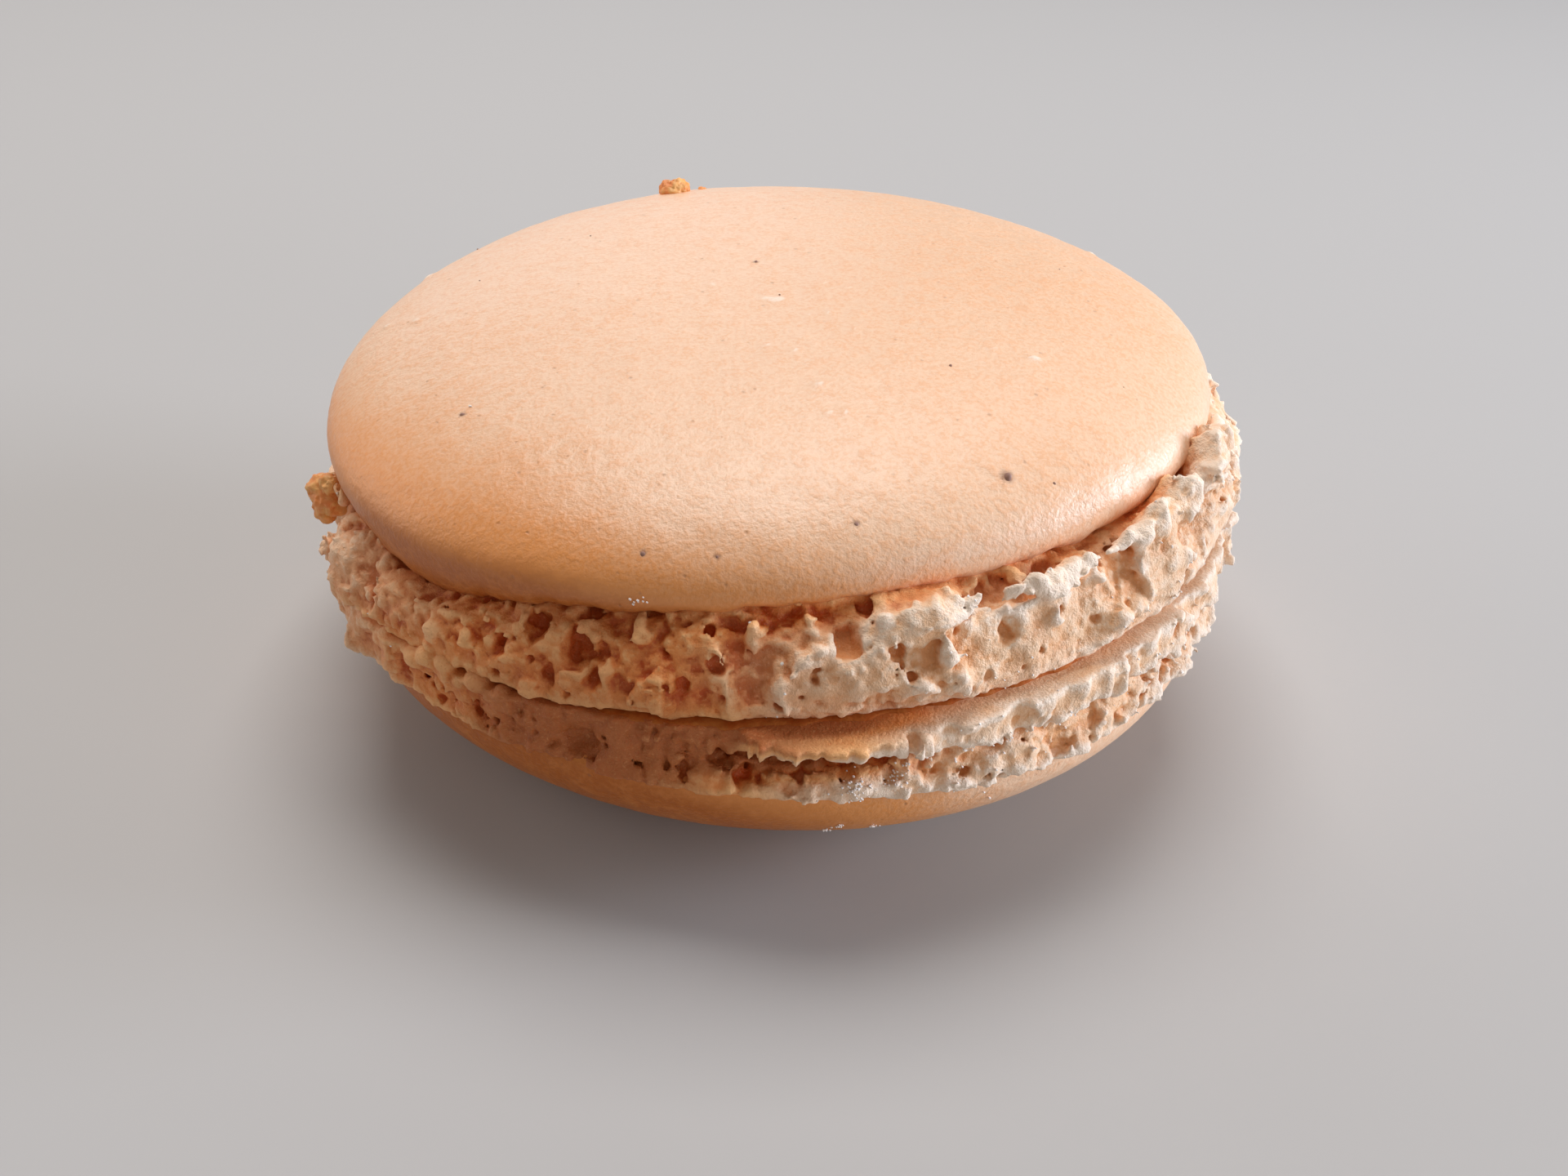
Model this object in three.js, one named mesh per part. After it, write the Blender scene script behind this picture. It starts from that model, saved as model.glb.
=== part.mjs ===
// A gingerbread macaroon: two domed almond meringue shells, flat face to flat face,
// with a thin ginger filling between them. Millimetres, +Z up, standing on z = 0.
// Each shell is one solid: a smooth baked cap or crust and the torn, ruffled foot
// that rose out from under it. Angles run anticlockwise from +X, seen from above.

import * as THREE from 'three';
import { mergeVertices } from 'three/addons/utils/BufferGeometryUtils.js';

const TURN = 2 * Math.PI;
const QUARTER = TURN / 4;
const COLUMNS = 132;                 // steps round each solid
const SAME_SPOT = 1e-5;              // corners closer than this are one corner
const MIDDLE = 0.5;                  // share of the radius at a flat face's inner row

// Waves are [order, size, angle of the first crest in degrees].
// Swells are broad bulges round a rim: the angle of the middle, the spread in degrees
// and the size in mm.

// Upper shell, measured up from its own flat base.
const CAP_RADIUS = 21;
const CAP_LEVEL = 4.9;               // height of the cap's widest line
const DOME_HEIGHT = 5;               // crown above the widest line
const DOME_POWER = 2.5;              // 2 is an ellipse, more is flatter
const DOME_ROWS = 6;
const CAP_WAVES = [[2, 0.33, 45], [3, 0.46, -9]];
const SKIRT_DEPTH = 1.35;            // how far the cap hangs below its widest line
const SKIRT_SWELLS = [
  { angle: -131, spread: 13, size: 1.1 },
  { angle: -80, spread: 24, size: -0.6 },
  { angle: 65, spread: 24, size: -0.4 },
  { angle: 150, spread: 20, size: 0.5 },
];
const SKIRT_CURL = [                 // the rim rolls in under itself, in three rows:
  { inward: 0.988, down: 0.45 },     // share of the cap's radius, share of the skirt's depth
  { inward: 0.962, down: 0.9 },
  { inward: 0.93, down: 1 },
];
const FOOT_RADIUS = 22.5;            // outer edge of the flat base
const FOOT_WAVES = [[1, 0.5, -15], [2, 0.2, 30], [5, 0.15, 10]];
const FOOT_TUCK = 1.7;               // how far the foot starts in under the cap's edge
const FOOT_DROP = 0.12;              // how far below the skirt the foot's top starts
const FOOT_POWER = 2.6;              // 2 is an ellipse, more is squarer at the shoulder
const FOOT_ROWS = 8;

// The torn crumb of both feet: folds in mm, and how many go round.
const BROAD_FOLDS = { size: 0.44, height: 2.4, around: 24 };
const FINE_FOLDS = { size: 0.66, height: 1.2, around: 48, seed: 5 };
const UPPER_SEED = 1;
const LOWER_SEED = 9;
const FOOT_RELIEF = 1.35;            // the upper foot is torn this much deeper
const FOOT_LEAN = 0.4;               // folds of the upper foot point outward by this, radians
const CLEAR_OF_CAP = { start: -0.6, end: 0.3 };   // past the cap's edge, where folds may rise

// Lower shell, upside down, measured up from the table.
const REST_RADIUS = 6;               // flat spot that it stands on
const CRUST_RADIUS = 21.05;
const CRUST_LEVEL = 6.75;            // height of the crust's rim
const CRUST_POWER = 1.7;
const CRUST_ROWS = 6;
const CRUST_WAVES = [[1, 0.55, -135], [3, 0.2, -120]];
const WAIST_RADIUS = 21.1;           // the crumb between the rim and the flat face
const WAIST_SWELLS = [
  { angle: -84, spread: 21, size: -0.9 },
  { angle: -32, spread: 24, size: 0.4 },
  { angle: 70, spread: 30, size: -0.5 },
];
const WAIST_ROWS = 5;
const WAIST_ABOVE_RIM = 0.35;
const WAIST_UNDER_LEDGE = 0.15;
const WAIST_CALM = 0.15;             // share of a half wave by which the folds die out at its ends
const LEDGE_RADIUS = 21.55;          // thin lip round the flat face
const LEDGE_SWELLS = [
  { angle: -81, spread: 9, size: 0.5 },
  { angle: 0, spread: 35, size: 0.3 },
  { angle: 110, spread: 50, size: 0.3 },
];
const LEDGE_THICKNESS = 0.55;
const LEDGE_LEVEL = 10.4;            // flat face at the shell's axis
const LEDGE_NICKS = { size: 0.18, around: 54, seed: 13 };

// How the two shells lie on each other.
const UPPER_AXIS = { x: -0.47, y: 0.78 };
const LOWER_AXIS = { x: 0.23, y: -0.86 };
const UPPER_BASE_LEVEL = 11;
const UPPER_TILT = { x: 1.4, y: -1.9 };   // degrees about X and Y
const LOWER_FACE_TILT = { x: 0.7, y: -0.9 };
const FILLING_RADIUS = 21.1;
const FILLING_WAVES = [[2, 0.25, 80], [7, 0.12, 0]];
const TOUCH = 0.02;                  // clearance left between pieces that touch

// Bigger crumbs that stand proud of a foot: height and spread in mm.
const UPPER_LUMPS = [
  { angle: -160, height: 1.9, spread: 1.0, size: 0.9 },
  { angle: -146, height: 0.9, spread: 1.9, size: 0.8 },
  { angle: -73, height: 3.2, spread: 1.6, size: 0.6 },
  { angle: -39, height: 2.9, spread: 1.8, size: 1.0 },
  { angle: -17, height: 2.9, spread: 1.9, size: 1.3 },
  { angle: 28, height: 2.4, spread: 2.0, size: 0.4 },
  { angle: 82, height: 3.2, spread: 1.8, size: 0.5 },
  { angle: 128, height: 2.2, spread: 1.9, size: 0.5 },
];
const LOWER_LUMPS = [
  { angle: -19, height: 7.4, spread: 1.5, size: 1.2 },
  { angle: -158, height: 8.0, spread: 2.0, size: 0.6 },
  { angle: -83, height: 8.4, spread: 1.8, size: -0.6 },
  { angle: -112, height: 8.6, spread: 0.9, size: -0.9 },
  { angle: 55, height: 8.2, spread: 1.8, size: 0.5 },
  { angle: 140, height: 8.0, spread: 1.6, size: 0.5 },
];

const CAP_COLOUR = '#e8bd98';
const CRUST_COLOUR = '#d9ab86';
const FILLING_COLOUR = '#8a5a3a';

const radians = THREE.MathUtils.degToRad;
const mix = THREE.MathUtils.lerp;
const smoothstep = THREE.MathUtils.smoothstep;

function waves(angle, terms) {
  return terms.reduce((sum, [order, size, crest]) =>
    sum + size * Math.cos(order * (angle - radians(crest))), 0);
}

// Shortest way round from one angle to another, in degrees.
function degreesApart(angle, other) {
  const turn = THREE.MathUtils.radToDeg(angle) - other;
  return THREE.MathUtils.euclideanModulo(turn + 180, 360) - 180;
}

function swells(angle, list) {
  return list.reduce((sum, { angle: middle, spread, size }) =>
    sum + size * Math.exp(-((degreesApart(angle, middle) / spread) ** 2)), 0);
}

function lumps(angle, height, radius, list) {
  return list.reduce((sum, lump) => {
    const along = radians(degreesApart(angle, lump.angle)) * radius;
    const distance = Math.hypot(along, height - lump.height);
    return sum + lump.size * Math.exp(-((distance / lump.spread) ** 2));
  }, 0);
}

// A repeatable number from -1 to 1 for each corner of a grid.
function scatter(column, row, seed) {
  const value = Math.sin(column * 127.1 + row * 311.7 + seed * 74.7) * 43758.5453;
  return 2 * (value - Math.floor(value)) - 1;
}

// Smooth noise that closes on itself after `around` cells.
function folds(angle, height, around, seed) {
  const place = THREE.MathUtils.euclideanModulo(angle / TURN, 1) * around;
  const column = Math.floor(place);
  const row = Math.floor(height);
  const across = smoothstep(place - column, 0, 1);
  const up = smoothstep(height - row, 0, 1);
  const corner = (c, r) => scatter((column + c) % around, row + r, seed);
  return mix(mix(corner(0, 0), corner(1, 0), across), mix(corner(0, 1), corner(1, 1), across), up);
}

// Broad folds and finer knobs of the torn crumb, in mm.
function ruffle(angle, height, seed) {
  const broad = folds(angle, height / BROAD_FOLDS.height, BROAD_FOLDS.around, seed);
  const fine = folds(angle, height / FINE_FOLDS.height, FINE_FOLDS.around, seed + FINE_FOLDS.seed);
  return BROAD_FOLDS.size * broad + FINE_FOLDS.size * fine;
}

const capRadius = (angle) => CAP_RADIUS + waves(angle, CAP_WAVES);
const skirtDepth = (angle) => SKIRT_DEPTH + swells(angle, SKIRT_SWELLS);
const footRadius = (angle) => FOOT_RADIUS + waves(angle, FOOT_WAVES);
const waistRadius = (angle) => WAIST_RADIUS + swells(angle, WAIST_SWELLS);
const ledgeRadius = (angle) => LEDGE_RADIUS + swells(angle, LEDGE_SWELLS);
const rimLevel = (angle) => CRUST_LEVEL + waves(angle, CRUST_WAVES);

// Each row of a solid is a function from an angle to a radius and a height.

function domeRows() {
  return Array.from({ length: DOME_ROWS + 1 }, (_, i) => {
    const share = Math.sin((i / DOME_ROWS) * QUARTER);
    const height = CAP_LEVEL + DOME_HEIGHT * Math.sqrt(1 - share ** DOME_POWER);
    return (angle) => [share * mix(CAP_RADIUS, capRadius(angle), share ** 2), height];
  });
}

function skirtRows() {
  return SKIRT_CURL.map(({ inward, down }) => (angle) =>
    [capRadius(angle) * inward, CAP_LEVEL - skirtDepth(angle) * down]);
}

// The plain shoulder of the foot, from under the cap out to the edge of the flat base.
function footShoulder(angle, swing) {
  const top = CAP_LEVEL - skirtDepth(angle) - FOOT_DROP;
  const start = capRadius(angle) - FOOT_TUCK;
  const out = Math.sin(swing) ** (2 / FOOT_POWER);
  const up = Math.cos(swing) ** (2 / FOOT_POWER);
  return [mix(start, footRadius(angle), out), top * up];
}

// Folds stand out from the shoulder, and up only where the cap is out of the way.
function footRows() {
  return Array.from({ length: FOOT_ROWS }, (_, i) => {
    const share = i / (FOOT_ROWS - 1);
    const swing = share * QUARTER;
    return (angle) => {
      const [radius, height] = footShoulder(angle, swing);
      const relief = ruffle(angle, height, UPPER_SEED) + lumps(angle, height, radius, UPPER_LUMPS);
      const proud = relief * FOOT_RELIEF * share * (1 - share ** 4);
      const past = radius - capRadius(angle);
      const clear = smoothstep(past, CLEAR_OF_CAP.start, CLEAR_OF_CAP.end);
      return [radius + proud * Math.sin(swing + FOOT_LEAN), height + proud * clear * Math.cos(swing)];
    };
  });
}

function upperShell() {
  const base = [(angle) => [footRadius(angle) * MIDDLE, 0], () => [0, 0]];
  return turned([...domeRows(), ...skirtRows(), ...footRows(), ...base]);
}

// Height of the lower shell's flat face, or of the upper shell's base, at a point.
function faceLevel(x, y, axis, level, tilt) {
  return level - (x - axis.x) * Math.tan(radians(tilt.y)) + (y - axis.y) * Math.tan(radians(tilt.x));
}

const lowerFace = (x, y) => faceLevel(x, y, LOWER_AXIS, LEDGE_LEVEL, LOWER_FACE_TILT);
const upperFace = (x, y) => faceLevel(x, y, UPPER_AXIS, UPPER_BASE_LEVEL, UPPER_TILT);

function crustRows() {
  return Array.from({ length: CRUST_ROWS + 1 }, (_, i) => {
    const share = Math.sin((i / CRUST_ROWS) * QUARTER);
    const rise = 1 - Math.sqrt(1 - share ** CRUST_POWER);
    return (angle) => [mix(REST_RADIUS, CRUST_RADIUS, share), rise * rimLevel(angle)];
  });
}

// Face heights round the lower shell, which the ledge and the waist hang from.
function faceAt(angle, radius) {
  return lowerFace(LOWER_AXIS.x + radius * Math.cos(angle), LOWER_AXIS.y + radius * Math.sin(angle));
}

function waistRows() {
  return Array.from({ length: WAIST_ROWS }, (_, i) => {
    const share = i / (WAIST_ROWS - 1);
    return (angle) => {
      const radius = waistRadius(angle);
      const low = rimLevel(angle) + WAIST_ABOVE_RIM;
      const high = faceAt(angle, radius) - LEDGE_THICKNESS - WAIST_UNDER_LEDGE;
      const height = mix(low, high, share);
      const relief = ruffle(angle, height, LOWER_SEED) + lumps(angle, height, radius, LOWER_LUMPS);
      const strength = Math.sin(Math.PI * mix(WAIST_CALM, 1 - WAIST_CALM, share));
      return [radius + relief * strength, height];
    };
  });
}

// The lip's lower and upper edge.
function ledgeRows() {
  return [LEDGE_THICKNESS, 0].map((down) => (angle) => {
    const nick = LEDGE_NICKS.size * folds(angle, down, LEDGE_NICKS.around, LEDGE_NICKS.seed);
    const radius = ledgeRadius(angle) + nick;
    return [radius, faceAt(angle, radius) - down];
  });
}

function lowerShell() {
  const middle = (angle) => [ledgeRadius(angle) * MIDDLE, faceAt(angle, ledgeRadius(angle) * MIDDLE)];
  const upward = [() => [0, 0], ...crustRows(), ...waistRows(), ...ledgeRows(), middle,
    () => [0, LEDGE_LEVEL]];
  return turned(upward.reverse());
}

// The filling is poured in place, so its two faces follow the shells.
function filling() {
  const radius = (angle) => FILLING_RADIUS + waves(angle, FILLING_WAVES);
  const faceRow = (share, face, lift) => (angle) => {
    const out = radius(angle) * share;
    return [out, face(out * Math.cos(angle), out * Math.sin(angle)) + lift];
  };
  const inward = [1, MIDDLE, 0];
  return turned([
    ...inward.toReversed().map((share) => faceRow(share, upperFace, -TOUCH)),
    ...inward.map((share) => faceRow(share, lowerFace, TOUCH)),
  ]);
}

// A lathe-turned blank, whose rows are then worked into the waved rows given here
// from the top of the solid down.
function turned(topDown) {
  const rows = topDown.toReversed();
  const blank = new THREE.LatheGeometry(rows.map((_, i) => new THREE.Vector2(1, i)), COLUMNS);
  const spots = blank.attributes.position;
  for (let i = 0; i < spots.count; i++) {
    const angle = TURN * (Math.floor(i / rows.length) % COLUMNS) / COLUMNS;
    const [radius, height] = rows[i % rows.length](angle);
    spots.setXYZ(i, radius * Math.cos(angle), radius * Math.sin(angle), height);
  }
  blank.deleteAttribute('uv');
  blank.deleteAttribute('normal');
  return withoutSlivers(mergeVertices(blank, SAME_SPOT));
}

// At a pole each quad has one side of no length, so one of its triangles goes.
function withoutSlivers(geometry) {
  const corners = geometry.index.array;
  const kept = [];
  for (let i = 0; i < corners.length; i += 3) {
    const [a, b, c] = corners.slice(i, i + 3);
    if (a !== b && b !== c && c !== a) kept.push(a, b, c);
  }
  geometry.setIndex(kept);
  geometry.computeVertexNormals();
  return geometry;
}

function piece(name, geometry, color, roughness) {
  const mesh = new THREE.Mesh(geometry, new THREE.MeshStandardMaterial({ color, roughness, metalness: 0 }));
  mesh.name = name;
  return mesh;
}

const upper = new THREE.Group();
upper.position.set(UPPER_AXIS.x, UPPER_AXIS.y, UPPER_BASE_LEVEL);
upper.rotation.set(radians(UPPER_TILT.x), radians(UPPER_TILT.y), 0);
upper.add(piece('shell_top', upperShell(), CAP_COLOUR, 0.7));

const lower = new THREE.Group();
lower.position.set(LOWER_AXIS.x, LOWER_AXIS.y, 0);
lower.add(piece('shell_bottom', lowerShell(), CRUST_COLOUR, 0.75));

const macaroon = new THREE.Group();
macaroon.add(lower, piece('filling', filling(), FILLING_COLOUR, 0.6), upper);

export default macaroon;
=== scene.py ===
"""A gingerbread macaroon, dressed: smooth baked crusts, torn and bubbly feet,
a thin ginger filling, loose crumbs and sugar grains, laid over the CAD solids."""
import itertools
import math

import bpy
import numpy as np
from bpy.props import FloatProperty, FloatVectorProperty, IntProperty, PointerProperty
from mathutils import Matrix, Vector


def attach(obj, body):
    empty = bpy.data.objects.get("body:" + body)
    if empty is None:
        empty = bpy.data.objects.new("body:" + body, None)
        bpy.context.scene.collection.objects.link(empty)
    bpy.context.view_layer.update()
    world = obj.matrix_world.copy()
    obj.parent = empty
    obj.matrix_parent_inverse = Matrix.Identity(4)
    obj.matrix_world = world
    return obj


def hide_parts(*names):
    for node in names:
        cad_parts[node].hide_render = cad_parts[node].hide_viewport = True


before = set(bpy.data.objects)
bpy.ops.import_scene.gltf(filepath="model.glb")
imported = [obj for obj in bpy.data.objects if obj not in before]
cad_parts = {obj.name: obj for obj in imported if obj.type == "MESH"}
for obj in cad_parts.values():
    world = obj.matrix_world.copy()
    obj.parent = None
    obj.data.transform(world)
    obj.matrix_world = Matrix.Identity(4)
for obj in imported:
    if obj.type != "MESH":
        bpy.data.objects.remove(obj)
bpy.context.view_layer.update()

bl_info = {
    "name": "Gingerbread macaroon",
    "version": (1, 0, 0),
    "blender": (4, 5, 0),
    "location": "3D View > Sidebar > Macaroon",
    "description": "Dresses the two shells, the filling, the crumbs and the sugar of a macaroon",
    "category": "Object",
}

MM = 0.001
TURN = 2 * math.pi

# Sizes in mm, as in the part's source. Waves are [order, size, crest in degrees].
CAP_RADIUS = 21.0
CAP_LEVEL = 4.9
DOME_HEIGHT = 5.0
DOME_POWER = 2.5
CAP_WAVES = [(2, 0.33, 45), (3, 0.46, -9)]
CAP_TUCK = 0.07
SKIRT_DEPTH = 1.35
SKIRT_SWELLS = [(-131, 13, 1.1), (-80, 24, -0.6), (65, 24, -0.4), (150, 20, 0.5)]
FOOT_RADIUS = 22.5
FOOT_WAVES = [(1, 0.5, -15), (2, 0.2, 30), (5, 0.15, 10)]
FOOT_TUCK = 1.7
FOOT_POWER = 2.6

REST_RADIUS = 6.0
CRUST_RADIUS = 21.05
CRUST_LEVEL = 6.75
CRUST_POWER = 1.7
CRUST_WAVES = [(1, 0.55, -135), (3, 0.2, -120)]
WAIST_RADIUS = 21.1
WAIST_SWELLS = [(-84, 21, -0.6), (-32, 30, -0.2), (70, 30, -0.5)]
SHELF = (21.3, 0.2, 0.6)     # crumb over the lower crust's rim: reach, height above it, half height
LEDGE_RADIUS = 21.55
LEDGE_SWELLS = [(-81, 9, 0.5), (0, 35, 0.3), (110, 50, 0.3)]
LEDGE_LEVEL = 10.4
FLUSH_SIDE = (-150, 56, 9)     # where the lower shell has no ledge: middle, reach, fade
OPEN_SEAM = (-84, 17)          # where the seam gapes: middle, spread
BROKEN_LIP = (-86, 13)         # where the ledge is thin and broken: middle, spread

UPPER_AXIS = (-0.47, 0.78)
LOWER_AXIS = (0.23, -0.86)
UPPER_BASE_LEVEL = 11.0
UPPER_TILT = (1.4, -1.9)
LOWER_FACE_TILT = (0.7, -0.9)
FILLING_RADIUS = 21.1
FILLING_WAVES = [(2, 0.25, 80), (7, 0.12, 0)]
FILLING_BULGE = 0.18
FILLING_POINTS = (720, 9)      # round the side, and up it
FILLING_SEED = 3

SLIM_SIDES = [(-165, 13, -1.0)]     # where the foot stands in: angle, spread, how far
# Bigger crumbs, proud or hollow: angle, height, spread, size.
UPPER_LUMPS = [
    (-161, 0.6, 3.4, -1.2), (-146, 0.6, 1.9, 0.7), (-73, 3.2, 1.6, 0.6), (-39, 2.9, 1.8, 0.7),
    (-17, 2.9, 1.9, 0.2), (28, 2.4, 2.0, 0.4), (82, 3.2, 1.8, 0.5), (128, 2.2, 1.9, 0.5),
]
LOWER_LUMPS = [
    (-18, 7.2, 1.4, 0.6), (-156, 8.8, 1.6, 0.9), (-148, 8.3, 1.3, 1.0), (-140, 8.3, 1.1, 0.6),
    (-112, 8.6, 0.9, -0.9), (-81, 7.9, 0.7, 0.5), (55, 8.2, 1.8, 0.5), (140, 8.0, 1.6, 0.5),
]
# Raised specks baked into the cap: x, y, spread, rise.
BLISTERS = [
    (-2.3, -1.3, 0.16, 0.09), (0.6, -3.1, 0.26, 0.10), (0.2, -2.9, 0.20, 0.10),
    (0.9, -3.0, 0.20, 0.10), (-0.5, -3.2, 0.14, 0.09), (2.9, -1.2, 0.15, 0.09),
    (4.0, -1.7, 0.17, 0.09), (2.2, -4.8, 0.13, 0.09), (3.1, -4.5, 0.12, 0.09),
    (4.4, -4.5, 0.13, 0.09), (4.3, -6.1, 0.14, 0.09), (1.9, -7.0, 0.15, 0.10),
    (2.4, -7.6, 0.16, 0.10), (1.6, -8.1, 0.17, 0.10), (0.4, -7.7, 0.15, 0.10),
    (2.6, -10.9, 0.20, 0.12), (3.0, -12.9, 0.17, 0.10), (3.7, -12.8, 0.16, 0.10),
    (12.2, -7.5, 0.20, 0.11), (12.0, -7.4, 0.15, 0.10), (10.3, -7.0, 0.13, 0.09),
    (-16.5, -1.4, 0.22, 0.12), (-18.2, -0.5, 0.20, 0.12), (-17.6, 6.6, 0.30, 0.12),
    (17.0, 8.8, 0.25, 0.10),
]


# ---------------------------------------------------------------- shape rules

def waves(angle, terms):
    return sum(size * np.cos(order * (angle - math.radians(crest))) for order, size, crest in terms)


def degrees_apart(angle, other):
    return (np.degrees(angle) - other + 180) % 360 - 180


def facing(angle, middle, spread):
    """1 in the middle of a side, fading to 0 away from it."""
    return np.exp(-(degrees_apart(angle, middle) / spread) ** 2)


def swells(angle, terms):
    return sum(size * facing(angle, middle, spread) for middle, spread, size in terms)


def lumps(angle, height, radius, terms):
    total = 0
    for middle, level, spread, size in terms:
        along = np.radians(degrees_apart(angle, middle)) * radius
        total = total + size * np.exp(-(along ** 2 + (height - level) ** 2) / spread ** 2)
    return total


def smoothstep(value, low, high):
    share = np.clip((value - low) / (high - low), 0, 1)
    return share * share * (3 - 2 * share)


def smooth_least(a, b, soft):
    blend = np.clip(0.5 + 0.5 * (b - a) / soft, 0, 1)
    return b + (a - b) * blend - soft * blend * (1 - blend)


def smooth_most(a, b, soft):
    return -smooth_least(-a, -b, soft)


class Grain:
    """Smooth noise from -1 to 1 that a seed always gives again."""
    CELLS = 40

    def __init__(self, seed):
        dice = np.random.default_rng(seed)
        self.lattice = dice.uniform(-1, 1, (self.CELLS,) * 3).astype(np.float32)

    def at(self, x, y, z, size):
        spots = [np.asarray(c, np.float32) / size for c in (x, y, z)]
        low = [np.floor(s).astype(np.int32) for s in spots]
        part = [s - l for s, l in zip(spots, low)]
        part = [p * p * (3 - 2 * p) for p in part]
        total = 0
        for step in itertools.product((0, 1), repeat=3):
            share = math.prod(p if s else 1 - p for p, s in zip(part, step))
            total = total + share * self.lattice[tuple((l + s) % self.CELLS for l, s in zip(low, step))]
        return total


def cap_radius(angle):
    return CAP_RADIUS + waves(angle, CAP_WAVES)


def skirt_depth(angle):
    return SKIRT_DEPTH + swells(angle, SKIRT_SWELLS)


def rim_level(angle):
    return CRUST_LEVEL + waves(angle, CRUST_WAVES)


def face_level(x, y, axis, level, tilt):
    lean = (y - axis[1]) * math.tan(math.radians(tilt[0]))
    return level + lean - (x - axis[0]) * math.tan(math.radians(tilt[1]))


def lower_face(angle, radius):
    """Height of the lower shell's flat face, at a place given from its own axis."""
    return face_level(radius * np.cos(angle), radius * np.sin(angle), (0, 0), LEDGE_LEVEL, LOWER_FACE_TILT)


UPPER_PLACE = (Matrix.Translation((*UPPER_AXIS, UPPER_BASE_LEVEL))
               @ Matrix.Rotation(math.radians(UPPER_TILT[0]), 4, "X")
               @ Matrix.Rotation(math.radians(UPPER_TILT[1]), 4, "Y"))
LOWER_PLACE = Matrix.Translation((*LOWER_AXIS, 0))


# ---------------------------------------------------------------- node writing

def operator_pair(operation):
    """The plain and the reflected form of one arithmetic operator."""
    return (lambda self, other: self.nodes.math(operation, self, other),
            lambda self, other: self.nodes.math(operation, other, self))


class Wire:
    """A node socket that Python arithmetic can be written on."""
    __add__, __radd__ = operator_pair("ADD")
    __sub__, __rsub__ = operator_pair("SUBTRACT")
    __mul__, __rmul__ = operator_pair("MULTIPLY")
    __truediv__, __rtruediv__ = operator_pair("DIVIDE")
    __pow__, __rpow__ = operator_pair("POWER")

    def __init__(self, nodes, socket):
        self.nodes = nodes
        self.socket = socket

    def __neg__(self):
        return self * -1.0

    def math(self, operation, *others):
        return self.nodes.math(operation, self, *others)

    def clamped(self):
        return self.math("MINIMUM", 1.0).math("MAXIMUM", 0.0)


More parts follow.
